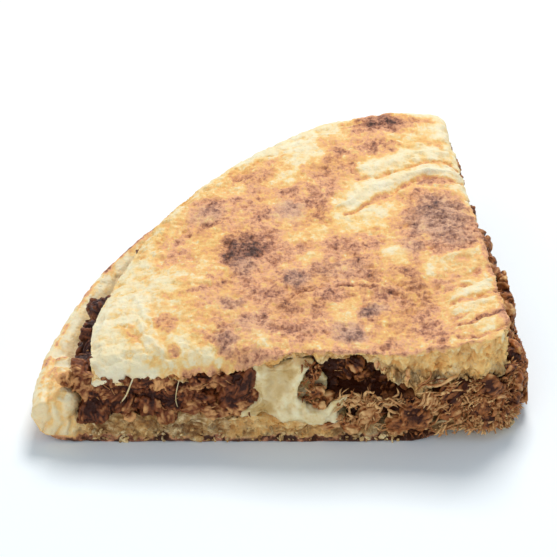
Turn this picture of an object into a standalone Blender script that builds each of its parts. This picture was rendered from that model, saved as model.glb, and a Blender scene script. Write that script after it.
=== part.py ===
"""One quarter of a round toasted flatbread sandwich, filled with pulled beef and melted cheese.

The whole round is turned about its centre as five layers, pressed out of true by one warp that
every layer shares, and cut by two knife strokes that meet at the centre. Lengths are in
millimetres and angles in degrees until the meshes are made, which are in metres.
+X runs along the front cut towards the tip, +Y away from the front cut, +Z up.
"""

import math

import bmesh
import bpy

MM = 0.001

# The two knife strokes. The first runs along -X from the centre, the second is turned from it.
# Both lean inwards going up, by so much over the height of the sandwich.
WEDGE_ANGLE = 82.9
TIP_ROUNDING = 10.0
TIP_STEPS = 9
FIRST_LEAN, SECOND_LEAN = 1.3, 3.2
HEIGHT = 26.0
KNIFE_LOW, KNIFE_HIGH = -4.0, 32.0
KNIFE_REACH = 200.0

# How finely the layers are turned and their outlines sampled.
TURN_STEPS = 108
OUTLINE_STEP = 4.6
FINE_OUTLINE_STEP = 3.2
WELD = 0.00002

# Outlines of the layers, as (distance from the centre, height) from the top of the inner side,
# down the outer side and back in. Neighbours keep a gap of about 0.3 mm.
BOTTOM_BREAD = [
    (0, 2.6), (20, 3.0), (38, 3.9), (48, 4.7), (60, 5.2), (70, 6.5), (85, 6.9), (98, 6.7),
    (104, 6.5), (108.2, 8.0), (111.7, 10.6), (113.8, 11.3), (115.5, 9.8), (115.4, 6.5), (113.6, 3.0),
    (110.2, 0.8), (106, 0), (100, 0), (50, 0), (0, 0),
]
TOP_BREAD = [
    (0, 24.6), (15, 25.0), (30, 25.1), (45, 25.0), (58, 24.6), (72, 24.2), (86, 23.9),
    (95, 23.2), (101.5, 21.8), (104.6, 19.9), (103.8, 18.5), (98, 18.3), (85, 19.1), (70, 19.4),
    (63, 20.0), (54, 21.2), (48, 22.0), (40, 22.3), (33, 21.8), (28, 20.2), (23, 17.4),
    (16, 14.6), (10, 13.6), (4, 14.2), (0, 14.6),
]
INNER_MEAT = [
    (0, 14.2), (4, 13.8), (10, 13.2), (16, 14.1), (22, 16.3), (28, 16.9), (36, 16.5), (44, 16.0),
    (50, 14.6), (52.8, 12.4), (50.8, 9.8), (45, 8.3), (40.5, 6.4), (37, 4.4), (20, 3.4), (0, 3.0),
]
MELTED_CHEESE = [
    (51.5, 21.0), (57, 20.4), (63, 19.5), (69, 18.9), (66.4, 16.6), (64.2, 14), (63.6, 10.8),
    (65.4, 8.4), (70, 7.2), (67, 6.6), (60, 5.7), (50, 5.2), (43.5, 4.9), (42.4, 5.7), (46, 7.4),
    (51.6, 8.9), (54.2, 11.6), (54.4, 15), (52.8, 18), (50.8, 19.7),
]
OUTER_MEAT = [
    (69.5, 18.2), (76, 18.8), (85, 18.6), (95, 18.0), (101.5, 17.6), (107, 16.4), (109.6, 13.8),
    (108.6, 11), (104.4, 8.6), (98, 7.4), (85, 7.5), (74, 7.5), (67.6, 8.9), (64.6, 11.4),
    (65.4, 14.8),
]

# The warp: waves in the rim and in the height, the tip a little off the board, how far the top
# half reaches past its turned rim at each angle from the first stroke, and how far the knife
# pressed the crust down beside each stroke.
RIM_START, RIM_END = 62.0, 100.0
RIM_WAVES = [(0.8, 5.0, 40.0), (0.5, 11.0, 100.0)]
TOP_START, TOP_END = 8.5, 17.0
BACK_REACH, BACK_START, BACK_END = 11.0, 20.0, 64.0
CORNER_PULL, CORNER_WIDTH = 3.2, 8.0
HEIGHT_WAVES = [(0.45, 0.090, 0.035, 0.6), (0.35, -0.040, 0.120, 2.1), (0.25, 0.150, -0.11, 4.0)]
FIRM_HEIGHT = 9.0
TIP_LIFT, TIP_LIFT_START, TIP_LIFT_END = 2.0, 31.0, 15.0
PINCH, PINCH_WIDTH, PINCH_LOW, PINCH_HIGH = 1.9, 5.0, 12.0, 22.0
PINCH_START, PINCH_END = 48.0, 70.0

# Lumps of pulled meat: how deep they go into its surface and how far apart they are.
LUMP_DEPTH, LUMP_SPACING = 1.0, 11.0
LUMP_COLUMNS, LUMP_ROWS = 30, 12

# Layers: outline, how far the two cut faces lie inside the bread's, sampling, lumpy or not,
# colour and roughness.
LAYERS = {
    "bottom_bread": (BOTTOM_BREAD, (0.0, 0.0), OUTLINE_STEP, False, (0.80, 0.60, 0.36), 0.75),
    "outer_meat": (OUTER_MEAT, (1.8, 0.4), OUTLINE_STEP, True, (0.20, 0.09, 0.045), 0.55),
    "melted_cheese": (MELTED_CHEESE, (0.5, 0.9), FINE_OUTLINE_STEP, False, (0.86, 0.8, 0.58), 0.35),
    "inner_meat": (INNER_MEAT, (0.0, -1.6), OUTLINE_STEP, True, (0.24, 0.11, 0.055), 0.55),
    "top_bread": (TOP_BREAD, (0.3, 0.3), OUTLINE_STEP, False, (0.76, 0.50, 0.27), 0.7),
}


def clear_scene():
    for obj in list(bpy.data.objects):
        bpy.data.objects.remove(obj, do_unlink=True)


def new_collection(name):
    collection = bpy.data.collections.new(name)
    bpy.context.scene.collection.children.link(collection)
    return collection


def smooth_step(start, end, value):
    share = min(max((value - start) / (end - start), 0.0), 1.0)
    return share * share * (3.0 - 2.0 * share)


def bump(centre, width, value):
    return math.exp(-(((value - centre) / width) ** 2))


def curve_point(before, start, end, after, share):
    """A point between start and end on the smooth curve through the four (Catmull-Rom)."""
    square, cube = share * share, share**3
    return tuple(
        0.5
        * (
            2 * s
            + (e - b) * share
            + (2 * b - 5 * s + 4 * e - a) * square
            + (3 * s - b - 3 * e + a) * cube
        )
        for b, s, e, a in zip(before, start, end, after)
    )


def sampled(outline, step, closed):
    """The outline as a smooth line with a point about every step, never below the base."""
    count = len(outline)
    last = count if closed else count - 1
    points = []
    for i in range(last):
        if closed:
            near = [outline[(i + k) % count] for k in (-1, 0, 1, 2)]
        else:
            near = [outline[min(max(i + k, 0), count - 1)] for k in (-1, 0, 1, 2)]
        pieces = max(1, round(math.dist(near[1], near[2]) / step))
        points += [curve_point(*near, k / pieces) for k in range(pieces)]
    if not closed:
        points.append(outline[-1])
    return [(max(r, 0.0), max(z, 0.0)) for r, z in points]


def top_reach(turn):
    """How far the top half stands out past its turned rim, at an angle from the first stroke."""
    back = BACK_REACH * smooth_step(BACK_START, BACK_END, turn)
    corners = bump(0.0, CORNER_WIDTH, turn) + bump(WEDGE_ANGLE, CORNER_WIDTH, turn)
    return back - CORNER_PULL * corners


def warped(x, y, z):
    """Where a point of the true round ends up in the pressed and toasted one."""
    radius = math.hypot(x, y)
    turn = math.degrees(math.atan2(y, -x))
    outer = smooth_step(RIM_START, RIM_END, radius)
    upper = smooth_step(TOP_START, TOP_END, z)
    waves = sum(size * math.sin(math.radians(lobes * turn + at)) for size, lobes, at in RIM_WAVES)
    grown = radius + outer * (waves + upper * top_reach(turn))
    scale = grown / radius if radius > 0 else 1.0
    lift = sum(size * math.sin(kx * x + ky * y + at) for size, kx, ky, at in HEIGHT_WAVES)
    beside = radius * math.sin(math.radians(turn - WEDGE_ANGLE))
    pinch = PINCH * (bump(0.0, PINCH_WIDTH, y) + bump(0.0, PINCH_WIDTH, beside))
    pinch *= smooth_step(PINCH_LOW, PINCH_HIGH, z) * smooth_step(PINCH_START, PINCH_END, radius)
    tip = TIP_LIFT * smooth_step(TIP_LIFT_START, TIP_LIFT_END, radius)
    return x * scale, y * scale, z + tip + lift * smooth_step(0.0, FIRM_HEIGHT, z) - pinch


def lump(along, across, up):
    """Depth of the hollows between lumps of meat, from 0 to 1."""
    turn = math.tau / LUMP_SPACING
    wave = math.sin(turn * along + 1.3 * math.sin(0.7 * turn * up + 0.4 * across))
    wave += math.sin(turn * (0.8 * up + 0.45 * along) + 1.1 * math.sin(0.6 * turn * across) + 1.0)
    wave += math.sin(turn * (0.9 * across - 0.5 * up) + 2.0)
    return 0.5 + wave / 6.0


def applied(obj):
    """Replaces the object's data by its evaluated mesh, and drops the modifiers."""
    graph = bpy.context.evaluated_depsgraph_get()
    mesh = bpy.data.meshes.new_from_object(obj.evaluated_get(graph))
    obj.modifiers.clear()
    return mesh


def turned_layer(name, outline, step, lumpy, collection):
    """The layer of the whole round, turned about the centre from its outline and then warped."""
    closed = outline[0][0] > 0
    points = sampled(outline, step, closed)
    count = len(points)
    edges = [(i, (i + 1) % count) for i in range(count if closed else count - 1)]
    mesh = bpy.data.meshes.new(name)
    mesh.from_pydata([(r * MM, 0.0, z * MM) for r, z in points], edges, [])
    obj = bpy.data.objects.new(name, mesh)
    collection.objects.link(obj)
    screw = obj.modifiers.new("turn", "SCREW")
    screw.axis = "Z"
    screw.angle = math.tau
    screw.steps = TURN_STEPS
    screw.render_steps = TURN_STEPS
    screw.use_merge_vertices = True
    screw.merge_threshold = WELD
    obj.data = applied(obj)
    if lumpy:
        normals = [vertex.normal.copy() for vertex in obj.data.vertices]
        for vertex, normal in zip(obj.data.vertices, normals):
            depth = LUMP_DEPTH * lump(*(value / MM for value in vertex.co))
            vertex.co -= normal * depth * MM
    for vertex in obj.data.vertices:
        x, y, z = (value / MM for value in vertex.co)
        vertex.co = [value * MM for value in warped(x, y, z)]
    return obj


def knife_row(insets, height, lumpy):
    """Outline at one height of what the two strokes leave, its tip rounded."""
    turn = math.radians(WEDGE_ANGLE)
    first = insets[0] + FIRST_LEAN * height / HEIGHT
    second = insets[1] + SECOND_LEAN * height / HEIGHT
    hub_y = first + TIP_ROUNDING
    hub_x = -(second + TIP_ROUNDING + hub_y * math.cos(turn)) / math.sin(turn)
    outline = []
    for i in range(LUMP_COLUMNS):
        reach = KNIFE_REACH * (1 - i / LUMP_COLUMNS)
        outline.append((hub_x - reach, first, 0.0, -1.0))
    for i in range(TIP_STEPS):
        angle = -math.pi / 2 + (math.pi - turn) * i / (TIP_STEPS - 1)
        side = (math.cos(angle), math.sin(angle))
        outline.append((hub_x + TIP_ROUNDING * side[0], hub_y + TIP_ROUNDING * side[1], *side))
    start_x, start_y, side_x, side_y = outline[-1]
    for i in range(1, LUMP_COLUMNS + 1):
        reach = KNIFE_REACH * i / LUMP_COLUMNS
        x = start_x - reach * math.cos(turn)
        y = start_y + reach * math.sin(turn)
        outline.append((x, y, side_x, side_y))
    if lumpy:
        row = []
        for x, y, side_x, side_y in outline:
            depth = LUMP_DEPTH * (1.6 * lump(x, y, height) - 0.3)
            row.append((x - side_x * depth, y - side_y * depth))
        outline = row
    return [(point[0] * MM, point[1] * MM, height * MM) for point in outline]


def knife(name, insets, lumpy, collection):
    """The block of space between the two strokes, which a layer is cut down to."""
    rows = LUMP_ROWS if lumpy else 1
    heights = [KNIFE_LOW + (KNIFE_HIGH - KNIFE_LOW) * i / rows for i in range(rows + 1)]
    block = bmesh.new()
    loops = [[block.verts.new(co) for co in knife_row(insets, z, lumpy)] for z in heights]
    count = len(loops[0])
    for lower, upper in zip(loops, loops[1:]):
        for i in range(count):
            k = (i + 1) % count
            block.faces.new((lower[i], lower[k], upper[k], upper[i]))
    block.faces.new(loops[0][::-1])
    block.faces.new(loops[-1])
    bmesh.ops.triangulate(block, faces=[face for face in block.faces if len(face.verts) > 4])
    bmesh.ops.recalc_face_normals(block, faces=block.faces)
    mesh = bpy.data.meshes.new(name)
    block.to_mesh(mesh)
    block.free()
    cutter = bpy.data.objects.new(name, mesh)
    collection.objects.link(cutter)
    cutter.hide_render = True
    cutter.display_type = "WIRE"
    return cutter


def cut(obj, cutter):
    boolean = obj.modifiers.new("knife", "BOOLEAN")
    boolean.operation = "INTERSECT"
    boolean.solver = "EXACT"
    boolean.object = cutter


def finish(obj, colour, roughness):
    material = bpy.data.materials.new(obj.name)
    material.use_nodes = True
    shader = material.node_tree.nodes["Principled BSDF"]
    shader.inputs["Base Color"].default_value = (*colour, 1.0)
    shader.inputs["Roughness"].default_value = roughness
    shader.inputs["Metallic"].default_value = 0.0
    obj.data.materials.clear()
    obj.data.materials.append(material)
    obj.data.shade_smooth()
    obj.data.set_sharp_from_angle(angle=math.radians(40))


def stand_on_origin(centre, pieces):
    """Moves the centre of the round so that the wedge's box stands centred on the origin."""
    bpy.context.view_layer.update()
    graph = bpy.context.evaluated_depsgraph_get()
    corners = []
    for obj in pieces:
        evaluated = obj.evaluated_get(graph)
        corners += [evaluated.matrix_world @ vertex.co for vertex in evaluated.data.vertices]
    low = [min(corner[k] for corner in corners) for k in range(3)]
    high = [max(corner[k] for corner in corners) for k in range(3)]
    centre.location = (-(low[0] + high[0]) / 2, -(low[1] + high[1]) / 2, -low[2])


def main():
    clear_scene()
    parts = new_collection("toasted_sandwich")
    cutters = new_collection("knives")
    centre = bpy.data.objects.new("centre_of_the_round", None)
    parts.objects.link(centre)
    pieces = []
    for name, (outline, insets, step, lumpy, colour, roughness) in LAYERS.items():
        obj = turned_layer(name, outline, step, lumpy, parts)
        cutter = knife("knife_" + name, insets, lumpy, cutters)
        cut(obj, cutter)
        finish(obj, colour, roughness)
        obj.parent = centre
        cutter.parent = centre
        pieces.append(obj)
    stand_on_origin(centre, pieces)


main()
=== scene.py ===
"""Looks for the quarter wedge of a round toasted flatbread sandwich.

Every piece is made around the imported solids. Meshes are worked on in millimetres and turned into
metres when they are written. The wedge is described from the centre of the round it was cut from:
"reach" is the distance from that centre and "turn" the angle from the front cut, in degrees.
"""

import math

import bmesh
import bpy
import numpy as np
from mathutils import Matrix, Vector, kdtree


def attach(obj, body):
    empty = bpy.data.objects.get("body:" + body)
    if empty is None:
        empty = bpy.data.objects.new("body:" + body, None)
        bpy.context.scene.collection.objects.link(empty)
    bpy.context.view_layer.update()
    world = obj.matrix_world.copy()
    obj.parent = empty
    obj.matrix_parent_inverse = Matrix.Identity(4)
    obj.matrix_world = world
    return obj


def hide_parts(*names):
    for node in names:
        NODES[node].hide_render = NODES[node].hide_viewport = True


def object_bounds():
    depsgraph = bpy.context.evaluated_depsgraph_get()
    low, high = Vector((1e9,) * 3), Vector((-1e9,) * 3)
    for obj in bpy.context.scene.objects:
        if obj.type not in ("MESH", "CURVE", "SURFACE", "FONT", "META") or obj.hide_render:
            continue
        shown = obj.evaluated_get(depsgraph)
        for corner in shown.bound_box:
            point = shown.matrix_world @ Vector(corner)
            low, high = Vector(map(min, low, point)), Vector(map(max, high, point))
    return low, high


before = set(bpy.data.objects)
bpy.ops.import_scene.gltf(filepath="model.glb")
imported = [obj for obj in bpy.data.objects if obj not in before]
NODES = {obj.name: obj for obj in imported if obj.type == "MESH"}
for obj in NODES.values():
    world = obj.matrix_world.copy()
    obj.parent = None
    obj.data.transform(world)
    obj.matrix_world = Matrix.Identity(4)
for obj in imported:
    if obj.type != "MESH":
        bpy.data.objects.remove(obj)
CAD_LOW, CAD_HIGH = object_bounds()
MM = 0.001
LOW = np.array(CAD_LOW) / MM
HIGH = np.array(CAD_HIGH) / MM
CLEARANCE = 0.02  # every piece stays this far inside the box

# The two knife strokes meet near the low-Y, high-X corner of the box.
WEDGE = math.radians(82.9)
TIP = np.array([HIGH[0] + 0.58, LOW[1]])
HEIGHT = 26.0
FIRST_LEAN, SECOND_LEAN = 1.3, 3.2
FIRST_OUT, FIRST_ALONG = np.array([0.0, -1.0]), np.array([-1.0, 0.0])
SECOND_OUT = np.array([math.sin(WEDGE), math.cos(WEDGE)])
SECOND_ALONG = np.array([-math.cos(WEDGE), math.sin(WEDGE)])
CUTS = {
    "front": (FIRST_OUT, FIRST_ALONG, FIRST_LEAN),
    "right": (SECOND_OUT, SECOND_ALONG, SECOND_LEAN),
}

# Heights of the breads' faces along the true radius, as the solids have them.
TOP_SKIN = (
    [0, 15, 30, 45, 58, 72, 86, 95, 101.5, 104.6],
    [24.6, 25, 25.1, 25, 24.6, 24.2, 23.9, 23.2, 21.8, 19.9],
)
TOP_UNDER = (
    [0, 4, 10, 16, 23, 28, 33, 40, 48, 54, 63, 70, 85, 98, 104],
    [14.6, 14.2, 13.6, 14.6, 17.4, 20.2, 21.8, 22.3, 22.0, 21.2, 20.0, 19.4, 19.1, 18.3, 18.5],
)
BOTTOM_TOP = (
    [0, 20, 38, 48, 60, 70, 85, 98, 104, 108, 112],
    [2.6, 3.0, 3.9, 4.7, 5.2, 6.5, 6.9, 6.7, 6.5, 8.0, 10.6],
)

# How the solids bend the true round: the top half reaches further out towards the second cut,
# the height waves, the tip stands off the board and the crust is pinched beside the cuts.
HEIGHT_WAVES = [(0.45, 0.090, 0.035, 0.6), (0.35, -0.040, 0.120, 2.1), (0.25, 0.150, -0.11, 4.0)]
WEDGE_DEGREES = math.degrees(WEDGE)
TIP_LIFT, TIP_LIFT_REACH = 2.0, (31, 15)
TOP_STRETCH, CORNER_DRAW, CORNER_DEGREES = 11.0, 3.2, 8.0
PINCH, PINCH_WIDTH = 1.9, 5.0


def along(profile, reach):
    """Height of a profile at a reach."""
    return np.interp(reach, profile[0], profile[1])


def step(start, end, value):
    """Eases from 0 at the start to 1 at the end, which may be the lower of the two."""
    share = np.clip((value - start) / (end - start), 0.0, 1.0)
    return share * share * (3.0 - 2.0 * share)


def bell(value):
    return np.exp(-(value**2))


def unit(vectors):
    return vectors / (np.linalg.norm(vectors, axis=-1, keepdims=True) + 1e-9)


def flattened(points, share=0.0):
    """Points with their heights scaled, so that a pattern on them runs up and down."""
    return np.column_stack([points[:, :2], points[:, 2] * share])


# ---------------------------------------------------------------------------------------------
# Noise, on arrays of points in millimetres


class Noise:
    """Smooth gradient noise and cell noise from seeded tables."""

    def __init__(self, seed):
        rng = np.random.default_rng(seed)
        self.order = np.concatenate([rng.permutation(256)] * 3)
        slopes = rng.normal(size=(256, 3))
        self.slopes = slopes / np.linalg.norm(slopes, axis=1, keepdims=True)
        self.spots = rng.random((256, 3))

    def key(self, cell):
        x, y, z = (cell[:, i] & 255 for i in range(3))
        return self.order[self.order[self.order[x] + y] + z]

    def smooth(self, points, size):
        place = points / size
        cell = np.floor(place).astype(np.int64)
        part = place - cell
        ease = part * part * part * (part * (part * 6 - 15) + 10)
        total = np.zeros(len(points))
        for corner in np.ndindex(2, 2, 2):
            offset = np.array(corner)
            slope = self.slopes[self.key(cell + offset)]
            weight = np.prod(np.where(offset == 1, ease, 1 - ease), axis=1)
            total += weight * np.sum(slope * (part - offset), axis=1)
        return total * 1.7

    def layered(self, points, size, layers=3, fade=0.5):
        total, weight, most = np.zeros(len(points)), 1.0, 0.0
        for i in range(layers):
            total += weight * self.smooth(points + 17.3 * i, size / 2**i)
            most += weight
            weight *= fade
        return total / most

    def drift(self, points, size, layers, shift):
        """Three unlike noises, to bend points with."""
        return np.column_stack([self.layered(points + shift * i, size, layers) for i in range(3)])

    def cells(self, points, size):
        """Distance to the nearest and second nearest scattered spot, and a number per cell."""
        place = points / size
        cell = np.floor(place).astype(np.int64)
        near = np.full(len(points), 9.0)
        second = np.full(len(points), 9.0)
        name = np.zeros(len(points), np.int64)
        for offset in np.ndindex(3, 3, 3):
            other = cell + np.array(offset) - 1
            key = self.key(other)
            gap = np.linalg.norm(other + self.spots[key] - place, axis=1)
            closer = gap < near
            second = np.where(closer, near, np.minimum(second, gap))
            name = np.where(closer, key, name)
            near = np.where(closer, gap, near)
        return near, second, name / 255.0


# ---------------------------------------------------------------------------------------------
# Meshes

# Grid step in millimetres and most triangles of each piece that is made on an even grid.
COARSE = 1.0
DETAIL = {
    "top_flatbread": (0.32 * COARSE, 196000), "bottom_flatbread": (0.34 * COARSE, 176000),
    "melted_cheese_band": (0.45 * COARSE, 40000), "outer_meat_core": (0.6, 24000),
    "inner_meat_core": (0.6, 24000), "outer_meat_mass": (0.27 * COARSE, 140000),
    "rim_meat_mass": (0.36 * COARSE, 74000), "inner_meat_mass": (0.27 * COARSE, 110000),
}
WELD = 0.00001
HIDDEN_THINNING = 0.93


def new_object(name, mesh):
    obj = bpy.data.objects.new(name, mesh)
    bpy.context.scene.collection.objects.link(obj)
    return obj


def mesh_from(name, points, faces):
    """A mesh from points in millimetres and one array of faces with equal corner counts."""
    mesh = bpy.data.meshes.new(name)
    count, corners = faces.shape
    mesh.vertices.add(len(points))
    mesh.vertices.foreach_set("co", (points * MM).astype(np.float32).ravel())
    mesh.loops.add(count * corners)
    mesh.loops.foreach_set("vertex_index", faces.astype(np.int32).ravel())
    mesh.polygons.add(count)
    mesh.polygons.foreach_set("loop_start", np.arange(0, count * corners, corners, dtype=np.int32))
    mesh.update(calc_edges=True)
    mesh.validate()
    mesh.shade_smooth()
    return mesh


def read(items, name, width, kind):
    flat = np.zeros(len(items) * width, kind)
    items.foreach_get(name, flat)
    return flat.reshape(-1, width)


def points_of(mesh):
    return read(mesh.vertices, "co", 3, np.float32).astype(float) / MM


def triangles_of(mesh):
    mesh.calc_loop_triangles()
    return read(mesh.loop_triangles, "vertices", 3, np.int32)


def normals_of(mesh):
    return read(mesh.vertex_normals, "vector", 3, np.float32).astype(float)


def in_box(points):
    """Points kept inside the box of the solids."""
    return np.clip(points, LOW + CLEARANCE, HIGH - CLEARANCE)


def write_points(mesh, points):
    mesh.vertices.foreach_set("co", (in_box(points) * MM).astype(np.float32).ravel())
    mesh.update()


def write_values(mesh, values):
    """Writes point attributes for the materials."""
    for name, value in values.items():
        layer = mesh.attributes.new(name, "FLOAT", "POINT")
        value = np.broadcast_to(value, len(mesh.vertices))
        layer.data.foreach_set("value", value.astype(np.float32))


def edges_of(mesh):
    return read(mesh.edges, "vertices", 2, np.int32)


def relaxed(values, edges, rounds, strength=0.5):
    """Values, or points, averaged with their neighbours over the edges."""
    count = np.bincount(edges.ravel(), minlength=len(values)).astype(float)
    flat = values.ndim == 1
    values = values.reshape(len(values), -1).astype(float)
    for _ in range(rounds):
        total = np.zeros_like(values)
        for k in range(values.shape[1]):
            total[:, k] = np.bincount(edges[:, 0], values[edges[:, 1], k], len(values))
            total[:, k] += np.bincount(edges[:, 1], values[edges[:, 0], k], len(values))
        values = values + strength * (total / np.maximum(count, 1)[:, None] - values)
    return values[:, 0] if flat else values


def bake(obj):
    """Applies the object's modifiers."""
    graph = bpy.context.evaluated_depsgraph_get()
    mesh = bpy.data.meshes.new_from_object(obj.evaluated_get(graph))
    obj.modifiers.clear()
    mesh.materials.clear()
    mesh.shade_smooth()
    obj.data = mesh


def stacked(shapes):
    """The points and the faces of many shapes as one."""
    starts = np.cumsum([0] + [len(shape[0]) for shape in shapes])
    faces = [shape[1] + start for shape, start in zip(shapes, starts)]
    return np.concatenate([shape[0] for shape in shapes]), np.concatenate(faces)


def remeshed(name, shapes):
    """Closed shapes melted into one, on an even fine grid."""
    obj = new_object(name, mesh_from(name, *stacked(shapes)))
    obj.modifiers.new("weld", "WELD").merge_threshold = WELD
    remesh = obj.modifiers.new("fine", "REMESH")
    remesh.mode = "VOXEL"
    remesh.voxel_size = DETAIL[name][0] * MM
    bake(obj)
    return obj


def fine_copy(name, node, extra=()):
    """The node's shape, merged with extra lumps, on an even fine grid."""
    source = NODES[node].data
    return remeshed(name, [(points_of(source), triangles_of(source)), *extra])


def smoothed(obj, rounds):
    """Evens out the grid's steps, and gives the edges, points and normals."""
    edges = edges_of(obj.data)
    points = relaxed(points_of(obj.data), edges, rounds)
    write_points(obj.data, points)
    return edges, points, normals_of(obj.data)


def nearest_in(source, places):
    """The index of the source point that lies nearest to each place."""
    tree = kdtree.KDTree(len(source))
    for i, point in enumerate(source.tolist()):
        tree.insert(point, i)
    tree.balance()
    return np.array([tree.find(place)[1] for place in places.tolist()])


def decimate(obj, ratio, group=""):
    modifier = obj.modifiers.new("thin", "DECIMATE")
    modifier.ratio = ratio
    modifier.vertex_group = group
    bake(obj)


def finished(obj, points, values, hidden):
    """Writes the final points and thins the mesh, hidden parts first, keeping the values."""
    most = DETAIL[obj.name][1]
    write_points(obj.data, points)
    points = points_of(obj.data)
    faces = triangles_of(obj.data)
    if len(faces) > most:
        obj.vertex_groups.new(name="hidden").add(np.flatnonzero(hidden).tolist(), 1.0, "REPLACE")
        decimate(obj, 1 - HIDDEN_THINNING * np.all(hidden[faces], axis=1).mean(), "hidden")
        obj.vertex_groups.clear()
    count = len(triangles_of(obj.data))
    if count > most:
        decimate(obj, most / count)
    write_points(obj.data, points_of(obj.data))
    nearest = nearest_in(points, points_of(obj.data))
    write_values(obj.data, {name: value[nearest] for name, value in values.items()})
    return obj


def settle(obj, slot, material, *replaced):
    obj.data.materials.clear()
    obj.data.materials.append(material)
    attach(obj, "root")
    if replaced:
        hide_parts(*replaced)


# ---------------------------------------------------------------------------------------------
# Where a point lies in the wedge


def from_tip(points):
    """Offsets from the tip in plan, reach and turn."""
    x, y = points[:, 0] - TIP[0], points[:, 1] - TIP[1]
    return x, y, np.hypot(x, y), np.degrees(np.arctan2(y, -x))


def place_in_wedge(points, inset=0.3):
    """Reach, turn and the distances inside the two cut faces."""
    x, y, reach, turn = from_tip(points)
    lean = points[:, 2] / HEIGHT
    first = y - inset - FIRST_LEAN * lean
    second = -(SECOND_OUT[0] * x + SECOND_OUT[1] * y) - inset - SECOND_LEAN * lean
    return reach, turn, first, second


def height_wave(points):
    """How far the solids stand above or below the true round."""
    x, y, reach, _ = from_tip(points)
    wave = sum(size * np.sin(kx * x + ky * y + at) for size, kx, ky, at in HEIGHT_WAVES)
    return wave + TIP_LIFT * step(*TIP_LIFT_REACH, reach)


def in_the_round(points):
    """Distance from the centre and height of the points before the solids were bent."""
    _, y, reach, turn = from_tip(points)
    corners = bell(turn / CORNER_DEGREES) + bell((turn - WEDGE_DEGREES) / CORNER_DEGREES)
    stretch = TOP_STRETCH * step(20, 64, turn) - CORNER_DRAW * corners
    true = reach - step(62, 104, reach) * step(8.5, 17, points[:, 2]) * stretch
    beside = reach * np.sin(np.radians(WEDGE_DEGREES - turn))
    pinch = PINCH * (bell(y / PINCH_WIDTH) + bell(beside / PINCH_WIDTH))
    pinch *= step(12, 22, points[:, 2]) * step(48, 70, reach)
    return true, points[:, 2] - height_wave(points) * step(0, 9, points[:, 2]) + pinch


def cut_share(normals):
    """How far each point faces out of a knife cut, from 0 to 1."""
    level = np.hypot(normals[:, 0], normals[:, 1])
    facing = np.degrees(np.arctan2(normals[:, 1], normals[:, 0]))
    between = step(-108.0, -98.0, facing) * step(34.0, 20.0, facing)
    return between * step(0.45, 0.8, level)


def outward(points):
    """The cut faces' outward direction, turning smoothly round the tip."""
    share = step(25.0, 58.0, from_tip(points)[3])[:, None]
    way = FIRST_OUT * (1 - share) + SECOND_OUT * share
    way /= np.linalg.norm(way, axis=1, keepdims=True)
    return np.column_stack([way, np.zeros(len(way))])


# ---------------------------------------------------------------------------------------------
# Toasting of the top skin, with painted shade and a painted shadow

# Painted in order: x, y, half length, half width, angle and level.
WASHES = [
    (-23, -40, 8, 15, 0, 0.17), (8, -33, 26, 23, 0, 0.47), (30, -38, 18, 19, 0, 0.45),
    (18, -15, 24, 11, 0, 0.45), (-4, -14, 12, 12, 0, 0.46), (39, -3, 11, 16, 15, 0.63),
    (46, -36, 9, 17, 0, 0.19), (5, 6, 9, 9, 0, 0.52), (12, 20, 7, 9, -20, 0.44),
    (18, 33, 8, 8, 30, 0.33), (25, 44, 6, 12, 0, 0.36), (-14, 4, 15, 19, 110, 0.44),
    (-24, -10, 11, 11, 30, 0.38), (-8, 24, 10, 7, 40, 0.36), (-34, -20, 5, 8, -20, 0.16),
    (20, 3, 8, 6, 20, 0.10), (27, -16, 3.2, 5, 0, 0.15), (37, -22, 5, 3.4, 10, 0.20),
    (16, -37, 3.4, 2.0, 0, 0.26), (14.5, -42, 2.6, 3.2, 0, 0.20), (3, -7, 3, 3.4, 0, 0.24),
    (7, -17, 4, 2.4, 20, 0.26), (20, -45, 2, 1.6, 0, 0.26), (50, -54, 8, 3, 15, 0.22),
    (12, -4, 5, 3, 20, 0.24), (33, 39, 5, 9, -10, 0.15), (-16, -6, 3, 3, 0, 0.26),
    (-12, 14, 4, 3, 30, 0.20), (-2, 36, 5, 6, 0, 0.09), (-26, 8, 4, 3, 50, 0.20),
]
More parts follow.
